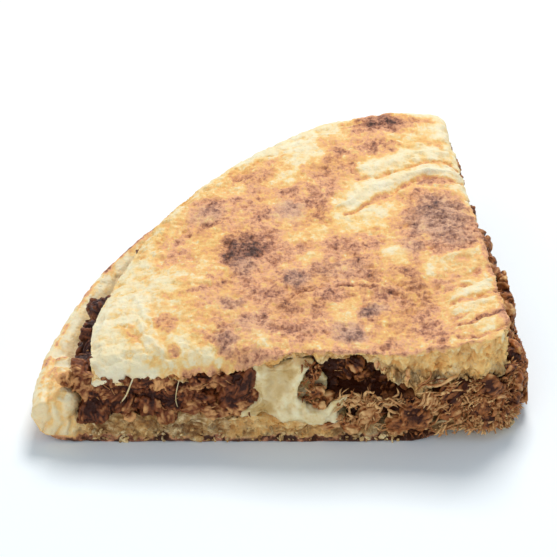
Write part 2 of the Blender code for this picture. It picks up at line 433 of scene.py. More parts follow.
SPOTS = [
    # The first two spots, near (-8, -12), are a dark patch that is partly charring and partly the painted
    # shadow of a neighbouring piece.
    (-8, -12, 6, 6.5, 0, 1.00), (-8.5, -13.5, 4.2, 4.6, 0, 1.13),
    (-9, -20, 2.8, 4, 0, 0.80), (4, -25.5, 3.2, 3.2, 0, 0.82),
    (-12.5, -36.5, 3.2, 2.8, 0, 0.76), (-13, -44.5, 2.2, 2, 0, 0.68), (-12.5, -49.5, 2.6, 3, 0, 0.70),
    (-7, -42, 2.2, 2.4, 0, 0.64), (-7, -26, 3, 4, 0, 0.62), (2, -38.5, 2.2, 1.5, 0, 0.74),
    (-2, -32, 2.4, 3, 0, 0.62), (13, -33.5, 2.8, 1.6, 0, 0.72), (17.5, -33, 2, 1.1, 0, 0.66),
    (26, -32.5, 1.6, 1.3, 0, 0.72), (13, -21.5, 7, 4, 0, 0.60), (21, -24, 2, 2.8, 30, 0.70),
    (30, -24, 1.8, 3.4, 35, 0.70), (22, -11.5, 2.2, 2, 0, 0.60), (15, -11.5, 4, 2.6, 0, 0.56),
    (9, -40, 2, 3.2, 0, 0.68), (21, -39.3, 4.2, 1.3, 20, 0.76), (16, -47.5, 3.2, 3.8, 0, 0.74),
    (2.5, -47.5, 2.4, 1.6, 30, 0.68), (27, -44, 2.4, 1.4, 0, 0.62), (34, -46, 3.4, 1.8, 0, 0.60),
    (36, -51, 3.2, 2.6, 0, 0.58), (26, -53, 2.4, 1.4, 0, 0.60), (-1, -54, 2.2, 1.4, 0, 0.60),
    (-9, -53, 2.4, 1.4, 0, 0.62), (33, -39, 2.6, 2, 0, 0.56), (38, 2, 6, 8, 0, 0.62),
    (41, -8, 7, 5, 0, 0.62), (37.5, 6, 1.0, 1.4, 0, 0.92), (43, 5, 3.2, 1.5, -40, 0.88),
    (37.5, 1.5, 0.8, 1.2, 0, 0.88), (44, -14, 2.6, 2, 0, 0.78), (31, -12, 3.2, 3, 0, 0.62),
    (47, -7, 2.6, 1.4, -50, 0.62), (36, 15.5, 2.2, 1.1, 0, 0.80), (33.5, 11.5, 2.2, 2, 0, 0.76),
    (40, 17, 2.2, 1.6, 0, 0.60), (2, 13, 2.4, 2, 0, 0.74), (8.5, 12, 2, 1.5, 0, 0.68),
    (3.5, 6.5, 1.3, 1.6, 0, 0.86), (1.5, 3, 2.4, 2, 0, 0.66), (8, 7, 1.8, 4, 0, 0.64),
    (12.5, 22, 2.6, 4.6, 0, 0.62), (18, 22, 1.8, 4, 0, 0.56), (15, 30, 2.2, 1.2, -20, 0.74),
    (25, 44, 8.5, 5.5, 0, 0.70), (24, 43.5, 5.5, 3.4, 0, 0.98), (24, 32, 4, 4.6, 60, 0.48),
    (23.5, 31, 1.1, 2.6, -20, 0.78), (27.5, 34, 3, 1, 0, 0.56), (48, -34, 4, 3, 20, 0.46),
    (-20, 6, 5, 4, 30, 0.68), (-8, 21, 4.4, 3, 0, 0.66), (-27, -7, 4, 3.4, 0, 0.66),
    (-3, 2, 3, 3.6, 0, 0.60), (-18, -2, 2.4, 2, 0, 0.74), (-12, 27, 3, 2, 30, 0.58),
    (-36, -44.5, 4, 1.8, -48, 0.46), (-26, -43, 2.4, 3.2, 0, 0.52), (-39, -36, 1.5, 2, 0, 0.32),
    (-26.5, -56.4, 2.4, 1.5, 0, 0.50), (-21, -56.8, 2.8, 1.3, 0, 0.56), (-15.5, -57, 3.0, 1.8, 0, 0.62),
    (-25, -52, 1.4, 1.8, 0, 0.50), (-29, -55, 2.4, 1.2, 0, 0.44), (-17, -26, 1.8, 1.7, 0, 0.56),
    (-24, -32, 3, 1.8, -20, 0.34), (-18, -30.5, 4, 1.1, 5, 0.48), (-23, -36, 3.4, 2.4, 0, 0.33),
    (39, 34, 2.6, 2, 0, 0.34), (36.5, 46, 2, 1.5, 0, 0.32), (5, 24, 1.4, 1.2, 0, 0.36),
    (42, -41.2, 2.2, 0.7, 0, 0.70), (51.5, -50, 1.6, 0.8, 20, 0.60),
]
ASHEN = [
    (38, 0, 7, 10, 0, 0.9), (41, -9, 6, 5, 0, 0.7), (16, -47.5, 4, 4.4, 0, 1.0),
    (21, -39.3, 4, 1.6, 20, 0.9), (4, -25.5, 3.4, 3.4, 0, 0.8), (2, 5, 4, 5, 0, 0.9),
    (-12.5, -36.5, 3.2, 3, 0, 0.6), (-12.5, -49, 3, 3.4, 0, 0.6), (31, -13, 3, 4, 0, 0.6),
    (14, -21, 7, 4, 0, 0.35), (-9, -20, 3, 4, 0, 0.7), (-18, 3, 5, 5, 0, 0.6),
    # The row at (-9, -13) greys that same patch, partly charring and partly painted shadow of a
    # neighbouring piece.
    (-7, -44, 4, 5, 0, 0.4), (-9, -13, 4, 5, 0, 0.25),
]

# Folds and creases of the top skin: a line in plan, its half width, height and toast level. The level is
# partly real browning and partly painted shade and light: most creases are painted darker and most ridges
# paler.
FOLDS = [
    ([(14, 6.5), (19, 12), (25, 16), (31, 19), (38, 20.7), (47, 20.4)], 1.15, 0.75, 0.02),
    ([(15, 2.5), (20, 7), (24, 10), (28, 13.5), (32, 16.6), (38, 18.3), (46, 17.8)], 0.8, -0.7, 0.52),
    ([(24, 8.2), (28, 10.2), (31, 12)], 1.2, -0.1, 0.42),
    ([(19, 21.5), (26, 25), (33, 28.5), (42, 30.5)], 1.7, 0.6, 0.05),
    ([(20, 18), (26, 20), (30, 22.3), (35, 25), (40, 26.3), (44, 24)], 0.8, -0.6, 0.46),
    ([(36, 25), (41, 25)], 1.2, 0.1, 0.38),
    ([(1, 33), (4, 39.5), (9, 43), (14, 45), (20, 45.5)], 1.3, -0.6, 0.13),
    ([(2, 42), (8, 47), (16, 51)], 1.6, 0.45, 0.05),
    ([(1, -38), (2, -35), (4, -32), (8, -30), (12, -29.6), (15, -28), (20, -28.6), (30, -29.5)],
     0.4, -0.5, 0.66),
    ([(2, -40), (6, -34), (11, -31.6), (16, -30.4), (24, -31)], 1.8, 0.3, None),
    ([(41, -46.0), (48, -43), (55, -39.6)], 1.0, -0.45, 0.90),
    ([(38, -46), (41, -45.5), (44, -45)], 0.5, -0.3, 0.58),
    ([(-18, -47), (-15, -50), (-10, -53.6), (-4, -55.6), (4, -56.2), (12, -56)], 1.7, 0.1, 0.60),
    ([(41, -51.5), (45, -52.4), (50, -49.8), (54.5, -46.8)], 0.8, -0.42, 0.66),
    ([(41, -47.4), (47, -46.4), (54, -44)], 1.4, 0.5, 0.15),
    ([(43, -55.4), (50, -52.8), (56, -50)], 1.6, 0.45, 0.20),
    ([(35, -31.5), (45, -28.5)], 0.7, -0.4, 0.50), ([(38, -20), (45, -16.5), (50, -13)], 1.3, 0.5, 0.10),
    ([(38, -37.8), (45, -33.8), (53, -30.0)], 0.65, -0.42, 0.46),
    ([(40, -26.6), (46, -23.2), (52, -19.5)], 0.75, -0.4, 0.46),
    ([(30, -29.5), (36, -28), (40, -27), (43, -24.5)], 0.6, 0.3, 0.52),
    ([(40, -34.6), (46, -30.2), (53, -25.0)], 1.9, 0.65, 0.03),
    ([(40, -40.0), (48, -37.4), (55, -34.5)], 1.5, 0.6, 0.09),
    ([(-29, -43), (-27, -50), (-24, -56.5)], 0.7, -0.45, 0.20),
    ([(-33.5, -41), (-31, -47), (-27, -53.5)], 0.7, 0.45, 0.05),
    ([(-35, -30), (-32.5, -38), (-29.5, -44)], 1.0, 0.45, 0.03),
    ([(-31, -29), (-30.4, -36), (-28, -41)], 0.8, -0.4, 0.14),
    ([(-41, -49), (-37, -54), (-35, -57)], 1.2, 0.4, 0.04),
    ([(-38, -41), (-34, -46), (-31, -52), (-29, -57)], 0.6, -0.4, 0.22),
    ([(-24, -27), (-16, -28.6), (-10, -27)], 0.8, 0.35, None),
    ([(-30, 14), (-20, 22), (-10, 32)], 2.0, 0.5, 0.10),
    ([(-28, 11), (-18, 18), (-8, 28)], 0.9, -0.5, 0.44),
    ([(-34, 0), (-26, 4), (-16, 14)], 1.4, 0.35, None),
    ([(-12, 38), (0, 46)], 1.3, 0.4, 0.08),
]


def ragged_plan(points, noise, wander=1.2):
    """Flat points whose places wander, so that painted shapes get natural outlines."""
    flat = flattened(points)
    x, y = (
        flat[:, axis] + 1.8 * noise.layered(flat + broad, 10, 2)
        + wander * noise.layered(flat + small, 3.6, 3, 0.6)
        for axis, broad, small in ((0, 0, 31), (1, 50, 77))
    )
    return flat, x, y


def oval(x, y, row, rough):
    """Share of a painted oval at each point, 1 in its middle."""
    px, py, length, width, angle, _ = row
    a = math.radians(angle)
    u = ((x - px) * math.cos(a) + (y - py) * math.sin(a)) / length
    v = ((y - py) * math.cos(a) - (x - px) * math.sin(a)) / width
    return step(1.42, 0.50, np.hypot(u, v) + rough)


def line_distance(x, y, line, width=1.0):
    """Distance in widths from a line that gets thinner towards both ends."""
    best = np.full(len(x), 1e9)
    lengths = [math.dist(a, b) for a, b in zip(line, line[1:])]
    whole, start = sum(lengths), 0.0
    for (ax, ay), (bx, by), length in zip(line, line[1:], lengths):
        dx, dy = bx - ax, by - ay
        share = np.clip(((x - ax) * dx + (y - ay) * dy) / (dx * dx + dy * dy), 0, 1)
        at = (start + share * length) / whole
        slim = width * (0.35 + 0.65 * np.sqrt(np.clip(4 * at * (1 - at), 0, 1)))
        best = np.minimum(best, np.hypot(x - ax - share * dx, y - ay - share * dy) / slim)
        start += length
    return best


def toast_and_shade_level(points, noise):
    """Toast level and ash of the skin, with painted shade in fold creases and a painted shadow."""
    flat, x, y = ragged_plan(points, noise)
    rough = 0.32 * noise.layered(flat + 120, 4.0, 4, 0.65)
    level = np.full(len(points), 0.09)
    for rows, strength, raggedness in ((WASHES, 1.0, 1.0), (SPOTS, 0.85, 1.5)):
        for row in rows:
            level += (row[5] - level) * strength * oval(x, y, row, rough * raggedness)
    warm = step(0.10, 0.42, level)
    tall = flat * np.array([1.0, 0.74, 1.0])
    level += (0.12 + 0.22 * warm) * noise.layered(tall + 200, 5.5, 3, 0.6)
    slant = np.column_stack([0.8 * x + 0.5 * y, 0.9 * y - 0.9 * x, x * 0])
    level += (0.03 + 0.08 * warm) * noise.layered(slant + 260, 2.6, 3, 0.6)
    freckle = step(0.22, 0.5, noise.layered(tall + 300, 2.0, 3, 0.65))
    level += 0.10 * freckle * step(0.02, 0.3, level)
    level -= 0.15 * step(0.56, 0.95, level)
    # Fold levels paint most creases darker as shade and most ridges paler as light, over the real
    # browning.
    for line, width, _, shade in FOLDS:
        if shade is not None:
            level += (shade - level) * 0.85 * bell(line_distance(x, y, line, width))
    ash = np.zeros(len(points))
    for row in ASHEN:
        ash = np.maximum(ash, row[5] * oval(x, y, row, rough * 1.5))
    return level, ash


def fold_height(points, noise):
    """Height of the folds and creases of the top skin."""
    _, x, y = ragged_plan(points, noise, 0.6)
    return sum(height * bell(line_distance(x, y, line, width)) for line, width, height, _ in FOLDS)


# ---------------------------------------------------------------------------------------------
# Lumps and fibres

LUMP_KEY = np.array([3.7, 9.1, 5.3])  # keeps the noise of each lump apart from the next one's
FIBRE_LIFT = 1.02  # height of the fibres over a lump, in half sizes


def round_shape(level):
    """The points and triangles of a unit ball."""
    shape = bmesh.new()
    bmesh.ops.create_icosphere(shape, subdivisions=level, radius=1.0)
    points = np.array([v.co[:] for v in shape.verts])
    faces = np.array([[v.index for v in f.verts] for f in shape.faces])
    shape.free()
    return points, faces


def random_frames(count, rng, along=None, spread=0.4):
    """Orthonormal frames, one per lump: the first axis is the run of its fibres."""
    first = unit(rng.normal(size=(count, 3)))
    if along is not None:
        first = unit(along + spread * rng.normal(size=(count, 3)))
    second = unit(np.cross(first, unit(rng.normal(size=(count, 3)))))
    return np.stack([first, second, np.cross(first, second)], axis=1)


def lumps(centres, radii, frames, tones, level, noise, ridge, lump):
    """Points, faces, tones and relief shading of many uneven fibrous lumps."""
    ball, faces = round_shape(level)
    count, size = len(centres), len(ball)
    key = np.arange(count)[:, None, None] * LUMP_KEY
    around = (ball[None] * 1.15 + key).reshape(-1, 3)
    lumpy = noise.smooth(around, 1.0)
    rough = noise.smooth(around * 2.4 + 40, 1.0)
    grooves = (ball[None] * np.array([0.9, 3.6, 3.6]) + key).reshape(-1, 3)
    groove = np.abs(noise.smooth(grooves + 1.2 * rough[:, None] * 0.3, 1.0))
    groove = 1 - np.clip(groove * 3.2, 0, 1)
    shape = (1 + lump * lumpy + 0.17 * rough - ridge * groove).reshape(count, size, 1)
    local = ball[None] * shape * radii[:, None, :]
    points = np.einsum("nvk,nkj->nvj", local, frames) + centres[:, None, :]
    # Relief shading: painted light on the crests, painted shade in the grooves.
    relief_shading = np.clip(0.62 + 0.45 * lumpy + 0.2 * rough - 0.75 * groove, 0, 1)
    return points.reshape(-1, 3), repeated(faces, count, size), np.repeat(tones, size), relief_shading


def repeated(faces, count, size):
    """The faces of many like shapes of one size, one after the other."""
    return (faces[None] + (np.arange(count) * size)[:, None, None]).reshape(-1, 3)


def sizes(count, rng, *spans):
    """Random half sizes, each axis within its span."""
    return np.column_stack([rng.uniform(*span, count) for span in spans])


def soft_lumps(rows, noise, ridge, lump):
    """Upright lumps to merge into a solid, from rows of a centre and half sizes."""
    centres, radii = (np.array(column) for column in zip(*rows))
    frames = np.tile(np.eye(3), (len(rows), 1, 1))
    return lumps(centres, radii, frames, np.zeros(len(rows)), 4, noise, ridge, lump)[:2]


def tubes(paths, widths, tones, noise, sides=6, thin=0.7, rough=0.3, blunt=0.35):
    """Points, faces, tones and relief shading of tapered fibres along given paths."""
    count, rings, _ = paths.shape
    tangent = unit(np.gradient(paths, axis=1))
    hint = np.sin(np.arange(count)[:, None] * np.array([1.3, 2.1, 3.7]))
    hint = np.array([0.31, 0.57, 0.76]) + hint
    side = unit(np.cross(tangent, np.broadcast_to(hint[:, None, :], tangent.shape)))
    top = np.cross(side, tangent)
    share = np.linspace(-0.5, 0.5, rings)
    taper = np.clip(np.cos(share * math.pi), 0, 1) ** blunt * 0.88 + 0.12
    angle = np.linspace(0, math.tau, sides, endpoint=False)
    key = np.arange(count)[:, None, None] * 7.31
    shape = (count, rings, sides)
    around = np.stack(
        [
            np.broadcast_to(np.cos(angle) * 1.4 + key, shape),
            np.broadcast_to(np.sin(angle) * 1.4 + key * 0.37, shape),
            np.broadcast_to((share * 5.0)[None, :, None], shape),
        ],
        axis=3,
    )
    groove = noise.smooth(around.reshape(-1, 3), 0.9).reshape(shape)
    radius = (widths[:, None, None] * 0.5) * taper[None, :, None] * (1 + rough * groove)
    ring = (
        side[:, :, None, :] * (np.cos(angle)[None, None, :] * radius)[..., None]
        + top[:, :, None, :] * (np.sin(angle)[None, None, :] * radius * thin)[..., None]
    )
    points = (paths[:, :, None, :] + ring).reshape(-1, 3)
    i, j = np.meshgrid(np.arange(rings - 1), np.arange(sides), indexing="ij")
    base, after = (i * sides + j).ravel(), (i * sides + (j + 1) % sides).ravel()
    quads = np.column_stack([base, after, after + sides, base + sides])
    first = np.zeros(sides - 2, int)
    fan = np.arange(1, sides - 1)
    last = (rings - 1) * sides
    one = np.concatenate(
        [
            quads[:, [0, 1, 2]],
            quads[:, [0, 2, 3]],
            np.column_stack([first, fan + 1, fan]),
            np.column_stack([first + last, last + fan, last + fan + 1]),
        ]
    )
    # Relief shading: painted shade in the fibre's grooves, painted light on its ridges.
    relief_shading = np.clip(0.5 + 0.5 * groove.ravel(), 0, 1)
    size = rings * sides
    return points, repeated(one, count, size), np.repeat(tones, size), relief_shading


def joined(name, parts, limit=in_box):
    """Many lumps or fibres as one piece."""
    points, faces = stacked(parts)
    mesh = mesh_from(name, in_box(limit(points)), faces)
    tone, relief_shading = (np.concatenate([part[i] for part in parts]) for i in (2, 3))
    write_values(mesh, {"tone": np.clip(tone, 0, 1), "relief_shading": relief_shading})
    return new_object(name, mesh)


def over_lumps(centres, radii, frames, tones, per, rng, reach=(0.4, 0.9)):
    """Paths of fibres that follow the grain of the lumps from end to end."""
    who = np.repeat(np.arange(len(centres)), per)
    total = len(who)
    turn = rng.uniform(0, math.tau, total)
    middle = rng.normal(math.pi / 2, 0.35, total)
    half = rng.uniform(*reach, total) * 0.9
    share = np.linspace(-1, 1, 7)
    angle = middle[:, None] + half[:, None] * share[None]
    drift = turn[:, None] + rng.normal(0, 0.35, total)[:, None] * share[None]
    out = FIBRE_LIFT + np.abs(share[None]) ** 3 * rng.uniform(-0.18, 0.12, total)[:, None]
    across = np.sin(angle)
    local = [np.cos(angle) * out, across * np.cos(drift) * out, across * np.sin(drift) * out]
    local = np.stack(local, axis=2) * radii[who][:, None, :]
    paths = np.einsum("nvk,nkj->nvj", local, frames[who]) + centres[who][:, None, :]
    return paths, tones[who]


def arcs(middles, headings, lengths, curl, rng, rings=7, kink=0.12):
    """Paths of loose curved fibres."""
    count = len(middles)
    share = np.linspace(-0.5, 0.5, rings)
    bend = unit(np.cross(headings, rng.normal(size=(count, 3))))
    bend = bend * rng.normal(0, curl, count)[:, None]
    other = unit(rng.normal(size=(count, 3))) * kink
    line = headings[:, None, :] * share[None, :, None]
    line = line + bend[:, None, :] * (share**2 - 0.08)[None, :, None]
    line = line + other[:, None, :] * np.sin(share * 7.0)[None, :, None]
    return middles[:, None, :] + line * lengths[:, None, None]


def filling_floor(reach, wave, above):
    """Height of the lower bread's upper face, and so much above it."""
    return along(BOTTOM_TOP, np.minimum(reach, 104)) + 0.7 * wave + above


def between_breads(points):
    """Keeps the filling near the inner faces of the two breads."""
    _, y, reach, _ = from_tip(points)
    wave = height_wave(points)
    _, _, first, second = place_in_wedge(points)
    floor = filling_floor(reach, wave, -1.5) - 0.8 * step(44, 30, reach)
    floor -= (2.2 - 2.4 * step(26, 14, reach)) * step(3.5, 2.0, np.minimum(first, second))
    lip = step(60, 70, reach) * step(106, 100, reach) * step(7.0, 4.0, y)
    roof = along(TOP_UNDER, reach) + wave + 1.2 - 2.0 * lip
    points = points.copy()
    points[:, 2] = np.clip(points[:, 2], np.maximum(floor, 0.6), roof)
    over = np.maximum(2.8 * step(48, 72, reach) - 2.4 - second, 0) * step(104, 101, reach)
    points[:, :2] -= SECOND_OUT * (0.85 * over)[:, None]
    return points


# ---------------------------------------------------------------------------------------------
# Bread


def crumb_depth(points, noise, other):
    """Depth of torn crumb under the knife's plane (pulled folds, tears, pores) and its painted hollow
    shade.
    """
    warped = points + 0.9 * noise.drift(points, 3.0, 3, 35)
    pulled = warped * np.array([0.8, 0.8, 1.25]) + 0.35 * warped[:, [2, 0, 1]]
    folds = np.clip(1 - 2.2 * np.abs(other.layered(pulled, 4.2, 3, 0.5)), 0, 1)
    tears = np.clip(1 - 2.6 * np.abs(noise.layered(pulled + 44, 1.9, 3, 0.6)), 0, 1)
    near, _, name = noise.cells(warped * np.array([1.0, 1.0, 1.5]), 1.9)
    bubbles = step(0.45, 0.15, near) * step(0.55, 0.95, name)
    small, _, size = other.cells(warped * np.array([1.0, 1.0, 1.3]), 0.95)
    pores = step(0.45, 0.15, small) * size
    sway = np.clip(0.5 + 2.2 * other.layered(warped + 9, 6.0, 2), 0, 1)
    depth = 0.8 * sway + 0.8 * folds + 0.65 * tears + 0.8 * bubbles + 0.22 * pores
    return depth, 0.35 * sway + 0.55 * folds + 0.55 * tears + 0.8 * bubbles + 0.2 * pores


# Torn crumb that hangs over the filling at the front cut: centre and half sizes.
HANGING_CRUMB = [
    ((24.0, -54.2, 20.4), (2.6, 2.2, 1.6)), ((27.0, -54.4, 19.8), (2.6, 2.2, 2.0)),
    ((30.2, -54.8, 18.2), (2.2, 1.9, 2.6)), ((32.2, -55.0, 16.0), (1.5, 1.2, 2.4)),
    ((35.4, -54.7, 18.0), (2.6, 1.9, 2.2)), ((41.0, -54.6, 17.6), (2.8, 1.8, 1.9)),
    ((46.0, -54.6, 17.4), (2.6, 1.7, 1.6)), ((38.0, -55.0, 15.6), (1.2, 1.0, 1.5)),
]


def make_top_bread():
    hanging = soft_lumps(HANGING_CRUMB, Noise(26), 0.25, 0.6)
    obj = fine_copy("top_flatbread", "top_bread", [hanging])
    edges, points, normals = smoothed(obj, 7)
    low, high, grain = Noise(11), Noise(12), Noise(13)

    cut = relaxed(cut_share(normals), edges, 3)
    upper = step(0.1, 0.6, normals[:, 2]) * (1 - cut)
    under = step(-0.1, -0.6, normals[:, 2]) * (1 - cut)
    _, turn, first, second = place_in_wedge(points)
    reach, true_z = in_the_round(points)
    skin_z, under_z = along(TOP_SKIN, reach), along(TOP_UNDER, reach)
    share_up = np.clip((true_z - under_z) / (skin_z - under_z), 0, 1)
    toast_and_shade, ash = toast_and_shade_level(points, low)
    folds = fold_height(points, low)

    # The skin rolls over the cuts, far over at the crust end of the front cut.
    reach_along = np.column_stack([reach, turn * 0, turn * 0])
    wobble = high.layered(reach_along, 9, 2)
    roll_first = 0.8 + 3.0 * step(56, 66, reach) + 0.7 * wobble
    roll_second = 1.2 + 1.4 * step(50, 80, reach) + 0.8 * high.layered(reach_along + 400, 7, 2)
    for inside, roll in ((first, roll_first), (second, roll_second)):
        size = np.maximum(roll, 0.4)
        edge = np.clip(1 - np.maximum(inside, 0) / (size * 1.25), 0, 1)
        drop = size * (1 - np.sqrt(np.maximum(1 - edge * edge, 0)))
        points[:, 2] -= drop * share_up * step(6, 14, reach)
    out = outward(points)
    inside = np.minimum(first, second)
    near_cut = step(3.6, 0.3, inside)

    # Ragged plan of the torn edge, deeper at the thin lower lip than at the skin.
    line = flattened(points, 0.35)
    ragged = 0.7 + 1.6 * high.layered(line, 7, 3) + 1.5 * grain.layered(points, 2.4, 4, 0.65)
    rolled = step(60, 70, reach) * step(9, 6, first)
    ragged = ragged * (1 - 0.75 * rolled)
    tuck = 1.7 * step(66, 58, reach) * (0.3 + 0.7 * step(30, 38, reach)) * (1 - share_up) ** 1.5
    inward = np.clip(ragged, 0.02, 2.8) * (0.45 + 0.55 * (1 - share_up)) + tuck
    points -= out * (near_cut * inward * step(103, 94, reach))[:, None]

    depth, crumb_hollow_shade = crumb_depth(points, low, high)
    crumb_here = cut * step(1.0, 0.80, share_up + 0.30 * grain.layered(line, 2.0, 3))
    points -= out * (crumb_here * depth * 1.05)[:, None]
    # Lower edge over the filling: torn up and down.
    fringe = 3.6 * grain.layered(points + 8, 2.6, 4, 0.65) + 3.0 * high.layered(line, 7, 3) - 0.1
    points[:, 2] += fringe * near_cut * (1 - share_up) ** 0.7 * step(101, 93, reach)
    front = step(5.5, 2.5, first)
    sag = 2.2 * step(38, 30, reach) * step(8, 15, reach) * front
    points[:, 2] -= sag * np.clip(1.1 - 1.2 * share_up, 0, 1)
    droop = (1.2 + 0.8 * step(86, 96, reach)) * step(62, 72, reach) * step(106, 98, reach) * front
    points[:, 2] -= droop * np.clip(1.15 - share_up, 0, 1)

    # Skin relief: folds, soft swelling, blisters and puckers.
    flat = flattened(points)
    swell = 0.6 * low.layered(flat, 22, 2) + 0.30 * high.layered(flat, 7, 2)
    near, _, name = grain.cells(flat + 5, 4.2)
    blister = step(0.55, 0.1, near) * step(0.35, 0.9, name) * 0.35
    pucker = np.abs(high.layered(flat * np.array([0.8, 1.1, 1.0]) + 60, 3.2, 4, 0.62))
    pucker = pucker * (0.7 + 0.6 * step(0.15, 0.45, toast_and_shade))
    rough = 0.9 * grain.layered(flat, 2.0, 3, 0.6) * (0.22 + np.clip(toast_and_shade, 0, 1))
    wrinkles = np.abs(low.layered(flat * np.array([0.6, 1.35, 1.0]) + 140, 6.5, 3, 0.55))
    pucker = pucker + 1.6 * np.clip(0.16 - wrinkles, 0, 0.16)
    points[:, 2] += upper * (1.05 * folds + swell + blister + rough - 1.1 * pucker - 0.05)

    rim = step(90, 101, reach) * (1 - cut)
    wrinkle = 0.5 * high.layered(flattened(points, 2.0), 5, 3)
    points += normals * (rim * wrinkle)[:, None] - normals * (rim * 0.2)[:, None]
    points += normals * (under * (0.3 * low.layered(points, 4, 3) - 0.2))[:, None]

    pale = 0.5 * step(92, 102, reach + 3 * high.layered(flat, 9, 3)) * step(88, 70, turn)
    pale *= step(8, 14, np.hypot(points[:, 0] - 25, points[:, 1] - 46))
    pale = np.maximum(pale, 0.75 * step(81, 92, reach + 3 * wobble) * step(4, 1, first))
    # Real gold along the cut edges, and painted golden shade under the roll at the front cut.
    gold_and_roll_shade = 0.30 * upper * step(2.6, 0.5, inside) * step(62, 50, reach)
    under_roll_shade = 0.34 * step(1.0, 0.35, share_up) * step(4.0, 1.5, first) * step(50, 60, reach)
    gold_and_roll_shade = np.maximum(gold_and_roll_shade, under_roll_shade * (0.8 + 0.8 * high.layered(points + 14, 4, 3)))
    # Painted shade: cream skin is toasted a little in the pucker hollows.
    pucker_shade = 0.25 * np.clip(pucker - 0.18, 0, 1) * (1 - step(0.2, 0.4, toast_and_shade))
    toast_and_shade = toast_and_shade * (1 - pale) + gold_and_roll_shade * (1 - step(0.3, 0.5, toast_and_shade)) + pucker_shade
    skin_roll = 0.85 * rolled * step(0.05, 0.35, share_up)
    # Painted shade: the lower strip of the cut crumb near the tip is darkened with the damp tint.
    low_edge_shade = 0.6 * step(0.30, 0.0, share_up) * cut * step(66, 60, reach)
    smear = step(0.32, 0.02, share_up + 0.22 * grain.layered(line + 4, 2.2, 3)) * cut
    speckle = step(0.34, 0.6, grain.layered(points + 21, 1.6, 3, 0.6))
    stain = np.clip(0.75 * smear * step(52, 44, reach) + 0.5 * speckle * crumb_here, 0, 1)
    values = {
        "toast_and_shade": np.clip(toast_and_shade, 0.02, 1.1),
        "ash": ash * upper,
        "crumb": np.clip(crumb_here * (1 - skin_roll) + under, 0, 1),
        "crumb_hollow_shade": np.clip(crumb_hollow_shade * cut, 0, 2),
        "damp": np.clip(under * 0.7 + low_edge_shade, 0, 1),
        "stain": stain,
    }
    hidden = (normals[:, 2] < -0.2) & (first > 8) & (second > 8) & (reach < 90)
    return finished(obj, points, values, hidden)


# Creases in the upturned lip at the front cut: a line in x and z, and its half width. They are pressed in
# and toasted a little as painted shade.
LIP_CREASES = [
    ([(-55.2, 3.0), (-53.6, 6.0), (-53.0, 9.5), (-53.8, 12.0)], 0.55),
    ([(-52.6, 1.6), (-50.6, 4.6), (-50.4, 8.0), (-51.6, 11.5)], 0.7),
    ([(-49.5, 1.8), (-48.2, 4.0), (-48.4, 7.0)], 0.6), ([(-56, 1.2), (-52, 1.5), (-47, 1.3)], 0.5),
]
# Soft bread that fills the upturned lip near the front cut: y, reach, height and half size.
LIP_BULGES = [
    (-54.5, 109.0, 9.0, 4.4), (-50.5, 109.4, 9.4, 4.2), (-46, 110.0, 9.2, 3.6), (-41, 110.6, 9, 3.0),
]


def lip_bulges():
    rows = [
        ((TIP[0] - math.sqrt(reach**2 - (y - TIP[1]) ** 2), y, z), (size, 4.0, size * 0.98))
        for y, reach, z, size in LIP_BULGES
    ]
    points, faces = soft_lumps(rows, Noise(25), 0.0, 0.12)
    return np.maximum(points, np.array([LOW[0] + 1.2, LOW[1] + 0.2, 1.0])), faces


